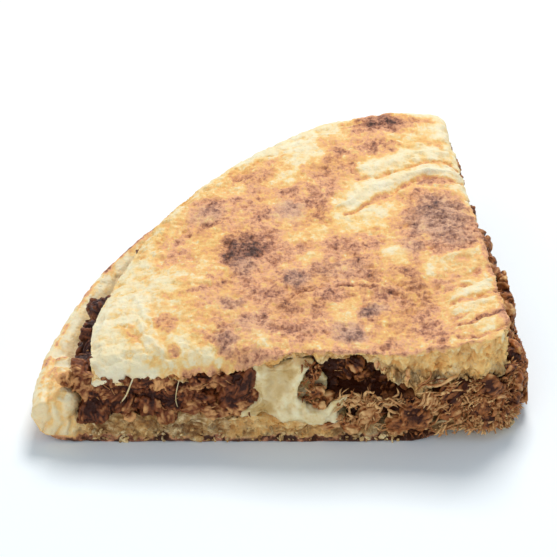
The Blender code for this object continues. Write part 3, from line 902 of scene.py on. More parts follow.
def make_bottom_bread():
    obj = fine_copy("bottom_flatbread", "bottom_bread", [lip_bulges()])
    edges, points, normals = smoothed(obj, 7)
    low, high, grain = Noise(21), Noise(22), Noise(23)

    cut = relaxed(cut_share(normals), edges, 3)
    _, _, first, second = place_in_wedge(points, 0.0)
    reach, true_z = in_the_round(points)
    share_up = np.clip(true_z / along(BOTTOM_TOP, reach), 0, 1)
    out = outward(points)
    inside = np.minimum(first, second)
    near_cut = step(3.2, 0.3, inside)
    line = flattened(points, 0.4)
    ragged = 0.5 + high.layered(line, 8, 3) + 0.8 * grain.layered(line, 1.9, 4, 0.6)
    sunk = 2.4 * step(40, 30, reach) * step(0.12, 0.5, share_up)
    inward = np.clip(ragged, 0.02, 2.2) * (0.35 + 0.65 * share_up) + sunk
    points -= out * (near_cut * inward * step(108, 103, reach))[:, None]
    depth, crumb_hollow_shade = crumb_depth(points, low, high)
    crumb_here = cut * step(0.03, 0.2, share_up + 0.08 * grain.layered(line, 1.5, 3))
    torn = crumb_here * step(109, 104, reach)
    points -= out * (torn * depth)[:, None]
    # The upper edge rises and falls with the filling that soaks into it.
    heave = 4.4 * high.layered(line + 12, 7, 3, 0.6) - 0.9 * step(58, 66, reach)
    lid = step(4.5, 0.5, inside) * share_up * step(105, 98, reach) * step(28, 40, reach)
    points[:, 2] += heave * lid - 1.1 * share_up * near_cut * step(42, 32, reach)

    creases = np.zeros(len(points))
    bent_x = points[:, 0] + 1.2 * low.layered(points + 66, 4, 2)
    for crease, width in LIP_CREASES:
        gap = line_distance(bent_x, points[:, 2], crease, width)
        creases = np.maximum(creases, bell(gap) * step(4.5, 2.0, first))
    points -= out * (0.8 * creases)[:, None]

    under = step(-0.2, -0.7, normals[:, 2])
    inner = step(0.2, 0.7, normals[:, 2]) * (1 - cut)
    rim = step(98, 106, reach) * (1 - cut)
    wrinkle = 0.6 * high.layered(flattened(points, 1.6), 6, 4, 0.55)
    ripple = 0.5 * np.abs(low.layered(flattened(points, 0.7) + 90, 3.6, 3))
    lip_end = cut * step(104, 109, reach)
    points += normals * ((rim + 0.6 * lip_end) * (wrinkle - ripple - 0.1))[:, None]
    points += normals * (inner * (1 - rim) * (0.4 * low.layered(points, 5, 3) - 0.1))[:, None]
    hollow = np.clip(0.35 * low.layered(points, 16, 2) + 0.2 * high.layered(points, 4, 2), 0, 0.5)
    points[:, 2] += under * hollow * step(112, 100, reach)

    flat = np.column_stack([-points[:, 1], points[:, 0] - 6, np.zeros(len(points))])
    below, ash = toast_and_shade_level(flat, low)
    # The crust of the rim: pale above, mottled gold on the side, browned at the lip and the foot.
    mottle = high.layered(points, 5, 4, 0.65)
    side = 0.08 + 0.8 * np.clip(mottle, 0, 1) * step(14, 32, first)
    side += 0.18 * step(0.3, -0.3, normals[:, 2])
    side += 0.45 * np.clip(1.6 * low.layered(points, 15, 3), 0, 0.7) * step(20, 44, first)
    foot = 0.42 * step(4.0, 0.8, points[:, 2] + 4.0 * mottle)
    lip = 0.46 * step(10.2, 11.9, points[:, 2] + 3.6 * grain.layered(points, 4, 3))
    lip = lip * (0.3 + 0.7 * step(4, 18, first))
    crust = np.clip(side + foot + lip, 0.03, 0.9)
    facing = np.sum(normals[:, :2] * (points[:, :2] - TIP), axis=1)
    outer = step(-0.2, 0.2, facing / np.maximum(reach, 1))
    crust = crust * (0.35 + 0.65 * outer)
    toast_and_shade = np.where(under > 0.5, below + 0.08, 0.12)
    toast_and_shade = toast_and_shade * (1 - rim) + rim * np.maximum(crust, toast_and_shade * under * 0.8)
    crust_line = 0.05 + 0.04 * high.layered(line + 50, 4, 3)
    edge_brown = cut * step(crust_line + 0.14, crust_line, share_up)
    edge_brown *= 0.72 + 0.28 * step(-0.2, 0.3, grain.layered(line + 9, 2, 2))
    soak = 0.85 + 0.6 * low.layered(points, 6, 3)
    bready = crumb_here + inner * (1 - rim)
    # Cream where the cheese runs down, brown under the meat and in scattered specks.
    creamy = step(42, 50, reach) * step(74, 66, reach) * step(8, 4, inside)
    seep = step(0.66, 0.95, share_up + 0.30 * high.layered(line + 71, 3.0, 4, 0.6))
    seep = seep * (1 - 0.8 * creamy)
    blots = step(0.06, 0.22, high.layered(points + 33, 4.4, 4, 0.65))
    specks = step(0.12, 0.36, grain.layered(points + 21, 1.4, 3, 0.65))
    edge = step(crust_line + 0.16, crust_line + 0.02, share_up)
    stain = np.clip(0.7 * seep + 0.75 * blots + 0.5 * specks, 0, 0.9)
    stain = stain * crumb_here * (1 - 0.8 * lip_end)
    stain = np.maximum(stain, 0.6 * cut * step(44, 34, reach))
    stain = np.maximum(stain, 0.95 * edge * cut * step(-0.5, 0.2, grain.layered(line + 9, 2.4, 3)))
    above_board = points[:, 2] + 0.9 * grain.layered(line + 5, 2.2, 3)
    foot_line = step(1.25, 0.8, above_board) * step(4.0, 2.0, inside) * step(111, 107, reach)
    burnt = foot_line * (1.02 + 0.6 * grain.layered(line + 9, 2.0, 2))
    # The lip creases get a little painted shade as extra toast.
    toast_and_shade = np.maximum(toast_and_shade * (1 - 0.5 * lip_end) + 0.10 * creases + edge_brown, burnt)
    values = {
        "toast_and_shade": np.clip(toast_and_shade, 0.02, 1.1),
        "ash": ash * under,
        "crumb": np.clip(bready * (1 - 0.7 * lip_end) * (1 - foot_line), 0, 1),
        "crumb_hollow_shade": np.clip(crumb_hollow_shade * cut, 0, 2) * step(109, 104, reach),
        "damp": np.clip(bready * soak * step(108, 102, reach) * (1 - 0.65 * creamy), 0, 1),
        "stain": stain,
    }
    hidden = (normals[:, 2] > 0.2) & (first > 9) & (second > 9) & (reach < 98)
    return finished(obj, points, values, hidden)


CRUMBS = 150  # along each cut


def make_crumbs():
    """Loose tufts of crumb along the lower bread's torn edges."""
    rng = np.random.default_rng(28)
    rows = []
    for side, run, lean in CUTS.values():
        span = rng.uniform(30, 103, CRUMBS)
        z = 0.3 + along(BOTTOM_TOP, span) * rng.beta(0.8, 3.0, CRUMBS)
        inset = rng.uniform(0.2, 1.0, CRUMBS) + lean * z / HEIGHT
        plan = TIP + run * span[:, None] - side * inset[:, None]
        rows.append(np.column_stack([plan, z]))
    centres = np.concatenate(rows)
    count = len(centres)
    radii = rng.lognormal(-1.2, 0.4, (count, 1)) * sizes(count, rng, (1.0, 2.2), (0.7, 1.1), (0.4, 0.8))
    frames = random_frames(count, rng)
    tones = rng.uniform(0, 1, count)
    points, faces, tone, relief_shading = lumps(centres, radii, frames, tones, 2, Noise(29), 0.0, 0.5)
    points = in_box(points)
    mesh = mesh_from("crumb_tufts", points, faces)
    low = points[:, 2] < 12
    write_values(mesh, {
        "toast_and_shade": 0.12, "crumb": 1.0, "ash": 0.0,
        # Painted shade in the grooves of each tuft.
        "crumb_hollow_shade": np.clip(0.5 - relief_shading, 0, 1),
        "damp": np.where(low, 0.8, 0.15) + 0.2 * (tone - 0.5),
        "stain": np.where(low, 0.5, 0.15) * (tone > 0.5),
    })
    return new_object("crumb_tufts", mesh)


# ---------------------------------------------------------------------------------------------
# Filling

# Extra cheese at the front cut: centre and half sizes.
CHEESE_SWELLS = [
    ((3.0, -53.5, 8.0), (4.4, 3.2, 3.0)), ((7.0, -51.4, 13.0), (3.4, 2.0, 5.0)),
    ((-3.0, -54.4, 18.2), (6.5, 2.2, 2.2)), ((-6.5, -54.2, 7.4), (4.0, 2.4, 2.4)),
]
# A pulled tongue of cheese, and strings with their widths.
CHEESE_PULL = [
    (-1, -56.4, 9.0), (2.5, -56.6, 7.2), (7, -56.4, 6.8), (11.5, -56.2, 8.0), (14.2, -56.0, 10.6),
    (15.6, -55.8, 13.2),
]
CHEESE_STRINGS = [
    ([(-33.8, -56.6, 18.4), (-34.6, -57.0, 16.2), (-35.6, -57.0, 13.4), (-37.0, -56.6, 10.8)], 0.40),
    ([(-23.3, -56.4, 17.6), (-23.9, -56.9, 15.0), (-24.2, -56.9, 12.0), (-23.8, -56.6, 9.6)], 0.24),
]


def smooth_path(corners, rings):
    """A curve through the corners, as one path of rings."""
    corners = np.array(corners, float)
    share = np.linspace(0, len(corners) - 1, rings)
    low = np.clip(share.astype(int), 0, len(corners) - 2)
    part = (share - low)[:, None]
    before = corners[np.maximum(low - 1, 0)]
    after = corners[np.minimum(low + 2, len(corners) - 1)]
    a, b = corners[low], corners[low + 1]
    path = 0.5 * (
        2 * a + (b - before) * part + (2 * before - 5 * a + 4 * b - after) * part**2
        + (3 * a - before - 3 * b + after) * part**3
    )
    return path[None]


def make_cheese():
    noise, low, high = Noise(31), Noise(32), Noise(33)
    swells = soft_lumps(CHEESE_SWELLS, noise, 0.0, 0.3)
    path = smooth_path(CHEESE_PULL, 24)
    pull = tubes(path, np.array([3.4]), np.zeros(1), noise, 12, 0.9, 0.2, 0.5)[:2]

    obj = fine_copy("melted_cheese_band", "melted_cheese", [swells, pull])
    _, points, normals = smoothed(obj, 10)
    waves = 2.4 * low.layered(flattened(points, 0.45), 5, 2) + 0.9 * high.layered(points, 2.2, 3)
    points += normals * (waves - 0.3)[:, None]
    _, _, first, second = place_in_wedge(points)
    hidden = (first > 9) & (second > 9)
    # Painted shade: the hollows of the waves get the brown stain tint; the specks are real.
    hollow = step(0.05, -0.9, waves + 0.8 * high.layered(points + 40, 3.0, 3, 0.6))
    specks = step(0.26, 0.5, high.layered(points + 90, 1.7, 3, 0.6))
    values = {"stain": np.clip(0.62 * hollow + 0.5 * specks, 0, 1)}
    return finished(obj, points, values, hidden)


def make_cheese_strings():
    noise = Noise(34)
    parts = [
        tubes(smooth_path(corners, 16), np.array([width]), np.zeros(1), noise, 8, 0.8, 0.3, 0.3)
        for corners, width in CHEESE_STRINGS
    ]
    strings = joined("cheese_strings", parts)
    write_values(strings.data, {"stain": 0.25})
    return strings


HOLLOW_DEPTH, HOLLOW_END, HEAP_TOP = 7.5, 50, 12.5  # the hollow beside the cheese


def make_meat_core(node, seed):
    """The meat's solid, drawn back behind the loose lumps that cover it where it shows."""
    obj = fine_copy(node + "_core", node)
    edges, points, normals = smoothed(obj, 6)
    low, high = Noise(seed), Noise(seed + 1)
    bent = points + 1.2 * low.drift(points, 5, 2, 40)
    near, second_near, name_of = low.cells(flattened(bent, 1.25), 4.2)
    lumpy = np.clip((second_near - near) / 0.5, 0, 1)
    fibres = np.abs(high.layered(bent * np.array([0.5, 0.5, 2.6]), 2.4, 3))
    depth = 0.9 + 1.6 * (1 - lumpy) + 0.9 * fibres + 0.3 * (1 - name_of)
    points -= normals * np.clip(depth, 0.5, 3.2)[:, None]
    reach, _, first, second = place_in_wedge(points)
    # Room for the upturned lip at the front, the hollow under the top bread, and the rim.
    points[:, 0] += 5.0 * step(103, 107, reach) * step(12, 4, first)
    hollow = step(9, 13, points[:, 2]) * step(52, 46, reach) * step(16, 24, reach)
    hollow = hollow * step(9, 2, first)
    points[:, 1] += HOLLOW_DEPTH * hollow
    rim = step(94, 103, reach)
    points[:, :2] -= SECOND_OUT * (3.0 * rim * step(6, 2, second))[:, None]
    points[:, :2] -= (points[:, :2] - TIP) * (3.6 * rim / np.maximum(reach, 1))[:, None]
    # Painted shade: tone and relief shading are darkened in the hollow under the top bread.
    dark = 1 - 0.9 * relaxed(hollow, edges, 6)
    tone = np.clip(0.22 + 0.3 * name_of, 0, 1)
    values = {"tone": tone * dark, "relief_shading": np.clip(lumpy - fibres, 0, 1) * dark}
    hidden = (first > 9) & (second > 9) & (reach < 97)
    return finished(obj, points, values, hidden)


# Pieces of meat at the front cut: centre, half sizes, tone, run of the fibres in the cut's plane.
FRONT_PIECES = [
    ((-45.0, -53.2, 18.8), (3.8, 3.2, 2.6), 0.45, 20), ((-49.6, -54.6, 15.4), (1.7, 1.5, 2.2), 0.85, 70),
    ((-45.0, -54.4, 13.8), (3.6, 2.6, 3.0), 0.50, 60), ((-43.2, -55.0, 8.6), (4.2, 2.6, 3.6), 0.22, 100),
    ((-39.4, -54.2, 16.2), (3.8, 2.8, 3.2), 0.35, 80), ((-37.4, -54.6, 10.4), (3.4, 2.6, 3.4), 0.28, 50),
    ((-33.4, -54.0, 15.0), (3.6, 2.8, 4.2), 0.25, 100), ((-28.8, -55.5, 15.0), (1.3, 1.1, 1.9), 0.95, 90),
    ((-25.4, -55.4, 14.6), (1.6, 1.3, 1.6), 0.95, 10), ((-30.2, -54.4, 9.6), (4.0, 2.6, 3.2), 0.30, 110),
    ((-26.4, -55.2, 7.6), (2.4, 2.0, 2.8), 0.38, 95), ((-27.6, -53.6, 18.2), (4.6, 2.8, 2.4), 0.22, 0),
    ((-22.8, -54.4, 11.6), (3.0, 2.2, 3.2), 0.30, 70), ((-11.6, -54.2, 16.4), (6.4, 3.0, 3.6), 0.42, 150),
    ((-19.4, -54.2, 17.0), (4.0, 2.8, 3.2), 0.26, 20), ((-20.4, -55.0, 9.8), (3.4, 2.2, 1.8), 0.55, 10),
    ((-15.6, -55.4, 8.9), (3.6, 2.0, 1.5), 0.80, 170), ((-9.2, -54.8, 9.6), (3.0, 2.2, 2.6), 0.50, 140),
    ((-6.6, -54.4, 13.4), (2.6, 2.2, 3.6), 0.40, 100), ((-40.6, -55.2, 12.6), (1.8, 1.4, 1.4), 0.62, 30),
    ((-35.0, -55.6, 7.6), (1.6, 1.4, 1.2), 0.70, 20), ((-18.4, -55.8, 14.9), (2.6, 0.9, 0.7), 0.66, 15),
]
INNER_PIECES = [
    ((31.2, -55.4, 6.0), (4.4, 2.6, 3.2), 0.20, 30), ((27.0, -55.2, 3.8), (2.4, 2.0, 1.8), 0.35, 10),
    ((34.6, -54.8, 10.6), (2.4, 2.0, 2.0), 0.70, 60), ((13.0, -47.6, 16.4), (4.4, 2.6, 2.6), 0.26, 170),
    ((24.0, -46.5, 12.6), (4.4, 2.6, 2.4), 0.20, 20), ((17.0, -51.0, 18.0), (1.4, 1.6, 3.2), 0.20, 110),
    ((8.4, -54.0, 12.6), (1.3, 1.4, 2.2), 0.30, 115), ((11.4, -53.0, 9.6), (1.5, 1.4, 1.5), 0.42, 20),
    ((9.4, -54.4, 9.2), (1.3, 1.2, 1.3), 0.55, 60), ((41.0, -54.6, 12.6), (4.4, 2.2, 2.6), 0.10, 35),
    ((47.5, -54.2, 13.6), (4.4, 2.2, 2.8), 0.12, 40), ((39.4, -55.0, 7.6), (3.6, 2.0, 2.4), 0.26, 30),
    ((46.0, -54.8, 8.2), (3.8, 2.2, 2.6), 0.20, 50), ((20.6, -54.6, 6.6), (3.2, 2.2, 2.4), 0.55, 40),
    ((12.0, -55.0, 4.6), (3.0, 1.8, 1.6), 0.50, 10), ((16.6, -55.2, 3.6), (2.6, 1.8, 1.4), 0.60, 170),
    ((7.6, -54.2, 17.6), (1.6, 1.2, 2.2), 0.20, 100),
]


def placed_pieces(rows, seed, set_back=0.0):
    """Centres, half sizes, frames and tones of the listed pieces at the front cut."""
    rng = np.random.default_rng(seed)
    centres, half_sizes, tones, angles = (np.array(column, float) for column in zip(*rows))
    centres[:, 1] += set_back * step(9, 14, centres[:, 2])
    centres[:, 2] -= set_back * step(11, 9, centres[:, 2])
    angle = np.radians(angles)
    run = np.column_stack([np.cos(angle), 0.15 * rng.normal(size=len(rows)), np.sin(angle)])
    first = unit(run)
    third = unit(np.cross(first, np.array([0.0, 1.0, 0.0])))
    second = np.cross(third, first)
    frames = np.stack([first, second, third], axis=1)
    # Half sizes are given along x, depth and z; the frame's axes take the matching share.
    share = np.abs(np.cos(angle))
    x, deep, z = half_sizes.T
    radii = np.column_stack([x * share + z * (1 - share), deep, z * share + x * (1 - share)])
    return centres, radii, frames, tones


ROUND_TIP, ROUND_TIP_REACH = np.array([-12.6, 10.6]), 10.4


def strip(kind, count, span, rng, depth, margin=1.2):
    """Scattered places over a strip of the filling: points, outward ways and along ways.

    Along the cuts the span is in reach, round the tip and along the rim it is in degrees."""
    at = rng.uniform(*span, count)
    turned = np.radians(at - 90.0 if kind == "tip" else at)
    cos, sin = np.cos(turned), np.sin(turned)
    if kind in CUTS:
        out, run, lean = CUTS[kind]
        plan, reach = TIP + np.outer(at, run), at
        way, run = np.tile(out, (count, 1)), np.tile(run, (count, 1))
    elif kind == "tip":
        way, run, lean = np.column_stack([cos, sin]), np.column_stack([-sin, cos]), 2.2
        plan = TIP + ROUND_TIP + ROUND_TIP_REACH * way
        reach = np.hypot(*(plan - TIP).T)
    else:
        way, run, lean = np.column_stack([-cos, sin]), np.column_stack([sin, cos]), 0.0
        reach = 106.0 + 0.8 * np.sin(np.radians(5.0 * at + 40)) - 4.0 * step(70, 80, at)
        plan = TIP + way * reach[:, None]
    wave = height_wave(np.column_stack([plan, reach]))
    floor = filling_floor(reach, wave, margin * 0.6) - 2.4 * step(44, 30, reach)
    roof = np.maximum(along(TOP_UNDER, reach) + wave - margin * 0.6, floor + 1)
    z = rng.uniform(floor, roof)
    inset = lean * z / HEIGHT + rng.uniform(*depth, count)
    if kind == "right":
        inset = inset + 4.2 * step(36, 74, reach) - 1.7
    if kind == "rim":
        inset = rng.uniform(*depth, count) + 0.2 * np.maximum(z - 8.5, 0) + 0.4 * np.sin(0.3 * at)
    flat = np.zeros((count, 1))
    places = np.column_stack([plan - way * inset[:, None], z])
    return places, np.hstack([way, flat]), np.hstack([run, flat])


def filler(kind, count, span, size, depth, tone, seed, spread=0.8):
    """Lumps that fill a strip of the filling without gaps."""
    rng = np.random.default_rng(seed)
    centres, _, run = strip(kind, count, span, rng, depth)
    frames = random_frames(count, rng, run, spread)
    radii = rng.lognormal(0, 0.25, (count, 1)) * size
    radii = radii * sizes(count, rng, (1.1, 1.8), (0.55, 0.85), (0.5, 0.8))
    tones = np.clip(rng.normal(tone, 0.12, count), 0.05, 0.95)
    return centres, radii, frames, tones


def shreds(kind, count, span, size, depth, tone, seed, spread=1.0, poke=0.5, curl=0.5, margin=0.8):
    """Paths of loose fibres over a strip."""
    rng = np.random.default_rng(seed)
    middles, way, run = strip(kind, count, span, rng, depth, margin)
    heading = run + spread * rng.normal(size=(count, 3)) * np.array([1, 1, 1.3]) + poke * way
    lengths = rng.lognormal(0, 0.3, count) * size[0]
    widths = rng.lognormal(0, 0.3, count) * size[1]
    tones = np.clip(rng.normal(tone, 0.16, count), 0.05, 1)
    return arcs(middles, unit(heading), lengths, curl, rng), widths, tones


STRANDS, STRAND_WIDTH, RIDGE = 7, 0.85, 0.6  # strands per lump, their width, relief of the mass


def fused(name, groups, seed):
    """Lumps of meat and the strands on them melted into one moist mass."""
    rng = np.random.default_rng(seed)
    noise, other = Noise(seed), Noise(seed + 1)
    centres, radii, frames, tones = (np.concatenate(part) for part in zip(*groups))
    count = len(centres)
    balls = lumps(centres, radii, frames, tones, 3, noise, 0.0, 0.30)
    paths, shades = over_lumps(centres, radii, frames, tones, STRANDS, rng, (0.5, 1.1))
    shades = np.clip(shades + rng.normal(0.04, 0.17, len(shades)), 0, 1)
    widths = rng.lognormal(0, 0.3, len(paths)) * STRAND_WIDTH
    strands = tubes(paths, widths, shades, noise, 6, 0.8, 0.3, 0.5)
    parts = (balls, strands)
    owner = np.concatenate([np.repeat(np.arange(count), len(part[0]) // count) for part in parts])
    source, tone = (np.concatenate([part[i] for part in parts]) for i in (0, 2))
    obj = remeshed(name, [(between_breads(part[0]), part[1]) for part in parts])
    edges, points, normals = smoothed(obj, 1)
    nearest = nearest_in(source, points)
    who = owner[nearest]
    local = np.einsum("nk,njk->nj", points - centres[who], frames[who])
    local = local + 0.7 * noise.drift(points, 2.4, 2, 30)
    grain = local * np.array([0.22, 1.0, 1.0]) + who[:, None] * LUMP_KEY
    coarse = np.clip(2.6 * np.abs(other.layered(grain, 2.2, 2, 0.45)), 0, 1)
    thin = np.clip(2.6 * np.abs(other.layered(grain + 50, 1.0, 2, 0.5)), 0, 1)
    lumpy = noise.layered(points + 15, 3.2, 3, 0.6)
    height = 0.8 * coarse + 0.5 * thin + 1.2 * lumpy
    points = points + normals * (RIDGE * (height - 0.7))[:, None]
    # Painted shade on sunken points and painted light on open ones, through the relief shading.
    sunk = np.einsum("nk,nk->n", relaxed(points, edges, 12) - points, -normals)
    open_air = step(-0.9, 0.6, relaxed(sunk, edges, 1))
    reach, _, first, second = place_in_wedge(points)
    # Painted shade: meat far inside the cut faces is toned darker.
    deep = step(2.5, 8.0, np.minimum(first, second))
    shade = tone[nearest] + 0.45 * noise.layered(points + 80, 3.0, 3, 0.6) - 0.35 * deep - 0.06
    values = {
        "tone": np.clip(relaxed(shade, edges, 2), 0, 1),
        "relief_shading": np.clip(0.35 * height + 0.85 * open_air - 0.25, 0, 1),
    }
    hidden = (first > 6.5 + 6.0 * (reach < 58)) & (second > 5.5) & (reach < 101)
    return finished(obj, points, values, hidden)


def fibre_parts(groups, loose, noise, seed):
    """Fibres that lie along the lumps, and loose ones."""
    rng = np.random.default_rng(seed)
    parts = []
    for group, per, width in groups:
        paths, tones = over_lumps(*group, per, rng)
        shade = np.clip(tones + rng.normal(0.10, 0.18, len(tones)), 0, 1)
        parts.append(tubes(paths, rng.lognormal(0, 0.3, len(paths)) * width, shade, noise, 5))
    for args in loose:
        paths, widths, tones = shreds(*args)
        if args[0] == "front" and args[2][1] < HOLLOW_END:
            paths = sunk_below(paths, HEAP_TOP)
        parts.append(tubes(paths, widths, tones, noise, 5))
    return parts


def brush(count, seed):
    """Short stubby fibres that stand out all round the tip, paler low down."""
    rng = np.random.default_rng(seed)
    places, way, _ = strip("tip", count, (-16, 104), rng, (0.2, 1.4), 0.8)
    up = np.column_stack([np.zeros((count, 2)), (places[:, 2] - 9.5) * 0.10 + 0.2])
    heading = unit(way + 0.30 * rng.normal(size=(count, 3)) + up)
    lengths = rng.lognormal(0, 0.25, count) * 2.1
    tones = rng.normal(0.44, 0.20, count) + 0.22 * step(10, 5, places[:, 2])
    widths = rng.lognormal(0, 0.25, count) * 0.50
    return arcs(places, heading, lengths, 0.3, rng, 5, 0.05), widths, np.clip(tones, 0.05, 1)


def slanting(kind, count, span, seed):
    """Longer strands that run up towards the tip across its dark meat."""
    rng = np.random.default_rng(seed)
    places, _, run = strip(kind, count, span, rng, (0.5, 1.7), 1.6)
    along_tip = run if kind == "tip" else -run
    heading = 0.8 * along_tip + np.array([0, 0, 0.5]) + 0.26 * rng.normal(size=(count, 3))
    lengths = rng.lognormal(0, 0.3, count) * 4.2
    tones = np.clip(rng.normal(0.62, 0.2, count), 0.1, 1)
    paths = arcs(places, unit(heading), lengths, 0.35, rng, 9, 0.06)
    return paths, rng.lognormal(0, 0.3, count) * 0.62, tones


def make_outer_meat():
    noise = Noise(42)
    big = placed_pieces(FRONT_PIECES, 41, 0.9)
    backing = filler("front", 60, (66, 104), 2.3, (3.2, 5.0), 0.20, 43)
    right = filler("right", 110, (60, 101), 2.2, (0.4, 2.4), 0.36, 44)
    right_back = filler("right", 50, (60, 101), 2.4, (2.4, 4.4), 0.22, 45)
    fused_meat = fused("outer_meat_mass", [big, backing, right, right_back], 141)
    loose = (
        ("front", 50, (65, 104), (2.2, 0.42), (1.0, 2.4), 0.55, 47),
        ("right", 160, (60, 101), (2.4, 0.5), (0.2, 1.6), 0.5, 48, 0.8, 0.0),
    )
    parts = fibre_parts(((big, 2, 0.40), (right, 1, 0.45)), loose, noise, 46)
    return fused_meat, joined("outer_meat_fibres", parts, between_breads)


def make_rim_meat():
    noise = Noise(52)
    bulk = filler("rim", 240, (2.5, 78.5), 1.9, (-0.2, 3.2), 0.30, 53, 2.0)
    fused_meat = fused("rim_meat_mass", [bulk], 151)
    loose = (("rim", 160, (2, 79), (2.4, 0.5), (-0.2, 1.0), 0.5, 55, 0.6, 0.1),)
    parts = fibre_parts(((bulk, 1, 0.45),), loose, noise, 54)
    return fused_meat, joined("rim_meat_fibres", parts, between_breads)


def make_inner_meat():
    noise = Noise(62)
    big = placed_pieces(INNER_PIECES, 61)
    right = filler("right", 90, (12, 58), 2.1, (0.5, 2.4), 0.36, 63)
    right_back = filler("right", 44, (12, 58), 2.4, (2.4, 4.6), 0.22, 64)
    wall = filler("front", 60, (24, 52), 2.0, (7.5, 10.5), 0.22, 72)
    tip = filler("tip", 80, (-8, 100), 1.7, (1.7, 3.4), 0.15, 65)
    fused_meat = fused("inner_meat_mass", [big, right, right_back, wall, tip], 161)
    loose = (
        ("front", 120, (12, 22), (1.8, 0.46), (0.4, 2.0), 0.6, 68, 0.9, 0.5, 0.5, 0.5),
        ("front", 110, (31, 45), (2.8, 0.64), (0.4, 2.0), 0.72, 69, 1.0, 0.4, 1.4, 0.5),
        ("front", 50, (22, 31), (1.8, 0.5), (0.6, 2.0), 0.45, 71, 1.0, 0.3, 0.6, 0.5),
        ("front", 80, (50.0, 54.6), (1.9, 0.5), (1.0, 2.6), 0.42, 73, 1.0, 0.3, 0.7, 1.5),
        ("right", 160, (10, 58), (2.0, 0.5), (0.3, 1.6), 0.5, 70, 0.8, 0.0, 0.5, 0.6),
    )
    parts = fibre_parts(((big, 2, 0.45), (right, 1, 0.45)), loose, noise, 66)
    parts.append(tubes(*slanting("front", 70, (12, 26), 74), noise, 5))
    parts.append(tubes(*slanting("tip", 110, (-14, 70), 75), noise, 5))
    parts.append(tubes(*brush(620, 67), noise, 5, 0.8, 0.35, 0.25))
    return fused_meat, joined("inner_meat_fibres", parts, between_breads)


def sunk_below(paths, roof):
    """Folds fibres that would hang in the hollow down onto the heap."""
    paths = paths.copy()
    over = np.maximum(paths[:, :, 2].mean(axis=1) - roof, 0)
    paths[:, :, 2] -= over[:, None] + np.minimum(over, 3.0)[:, None] * 0.8
    return paths


# ---------------------------------------------------------------------------------------------
# Materials


class Shader:
    """A small helper that wires a Principled material."""

    def __init__(self, name):
        self.material = bpy.data.materials.new(name)
        self.material.use_nodes = True
        self.nodes = self.material.node_tree.nodes
        self.links = self.material.node_tree.links
        self.body = self.nodes["Principled BSDF"].inputs
        self.place = self.nodes.new("ShaderNodeTexCoord").outputs["Object"]

    def put(self, socket, value):
        if isinstance(value, bpy.types.NodeSocket):
            self.links.new(value, socket)
        else:
            socket.default_value = value

    def node(self, kind, **inputs):
        """A new node with some of its inputs set or linked."""
        node = self.nodes.new("ShaderNode" + kind)
        for name, value in inputs.items():
            self.put(node.inputs[name.replace("_", " ")], value)
        return node

    def value(self, name):
        node = self.node("Attribute")
        node.attribute_name = name
        return node.outputs["Fac"]

    def noise(self, size, detail=3.0, rough=0.55, stretch=None):
        """Noise with features of a size in millimetres."""
        place = self.place
        if stretch is not None:
            place = self.node("Mapping", Scale=stretch, Vector=place).outputs["Vector"]
        scale = 1.0 / (size * MM)
        node = self.node("TexNoise", Vector=place, Scale=scale, Detail=detail, Roughness=rough)
        return node.outputs["Fac"]

    def calc(self, operation, a, b, clamp=False):
        node = self.node("Math")
        node.operation = operation
        node.use_clamp = clamp
        for socket, value in zip(node.inputs, (a, b)):
            self.put(socket, value)
        return node.outputs["Value"]

    def add(self, a, b, clamp=False):
        return self.calc("ADD", a, b, clamp)

    def times(self, a, b, clamp=False):
        return self.calc("MULTIPLY", a, b, clamp)

    def swing(self, pattern, gain):
        """How far a pattern is off its middle, times a gain."""
        return self.times(self.calc("SUBTRACT", pattern, 0.5), gain)

    def share(self, a, b, part):
        """Part of a and the rest of b."""
        return self.add(self.times(a, part), self.times(b, 1 - part))

    def fit(self, value, low, high, start=0.0, end=1.0):
        spans = {"From_Min": low, "From_Max": high, "To_Min": start, "To_Max": end}
        node = self.node("MapRange", Value=value, **spans)
        node.clamp = True
        return node.outputs["Result"]

    def ramp(self, value, *stops):
        """A colour ramp with stops of a place, red, green and blue."""
        node = self.node("ValToRGB", Fac=value)
        band = node.color_ramp
        while len(band.elements) < len(stops):
            band.elements.new(0.5)
        for element, (at, *colour) in zip(band.elements, stops):
            element.position = at
            element.color = (*colour, 1.0)
        return node.outputs["Color"]

    def mix(self, share, a, b):
        node = self.nodes.new("ShaderNodeMix")
        node.data_type = "RGBA"
        self.put(node.inputs["Factor"], share)
        for name, value in (("A", a), ("B", b)):
            socket = [s for s in node.inputs if s.name == name and s.type == "RGBA"][0]
            self.put(socket, (*value, 1.0) if isinstance(value, tuple) else value)
        return [s for s in node.outputs if s.type == "RGBA"][0]

    def finish(self, colour, roughness, specular, glow, *bumps):
        """Joins all to the shader. The glow is the weight, radius and scale of the light inside,
        and each bump a size, detail, roughness, strength and height of noise."""
        self.put(self.body["Base Color"], colour)
        self.put(self.body["Roughness"], roughness)
        self.body["Specular IOR Level"].default_value = specular
        for name, value in zip(("Weight", "Radius", "Scale"), glow):
            self.body["Subsurface " + name].default_value = value
        for size, detail, rough, strength, height in bumps:
            relief = self.noise(size, detail, rough)
            node = self.node("Bump", Strength=strength, Distance=height * MM, Height=relief)
            if self.body["Normal"].is_linked:
                self.links.new(self.body["Normal"].links[0].from_socket, node.inputs["Normal"])
            self.links.new(node.outputs["Normal"], self.body["Normal"])
        return self.material


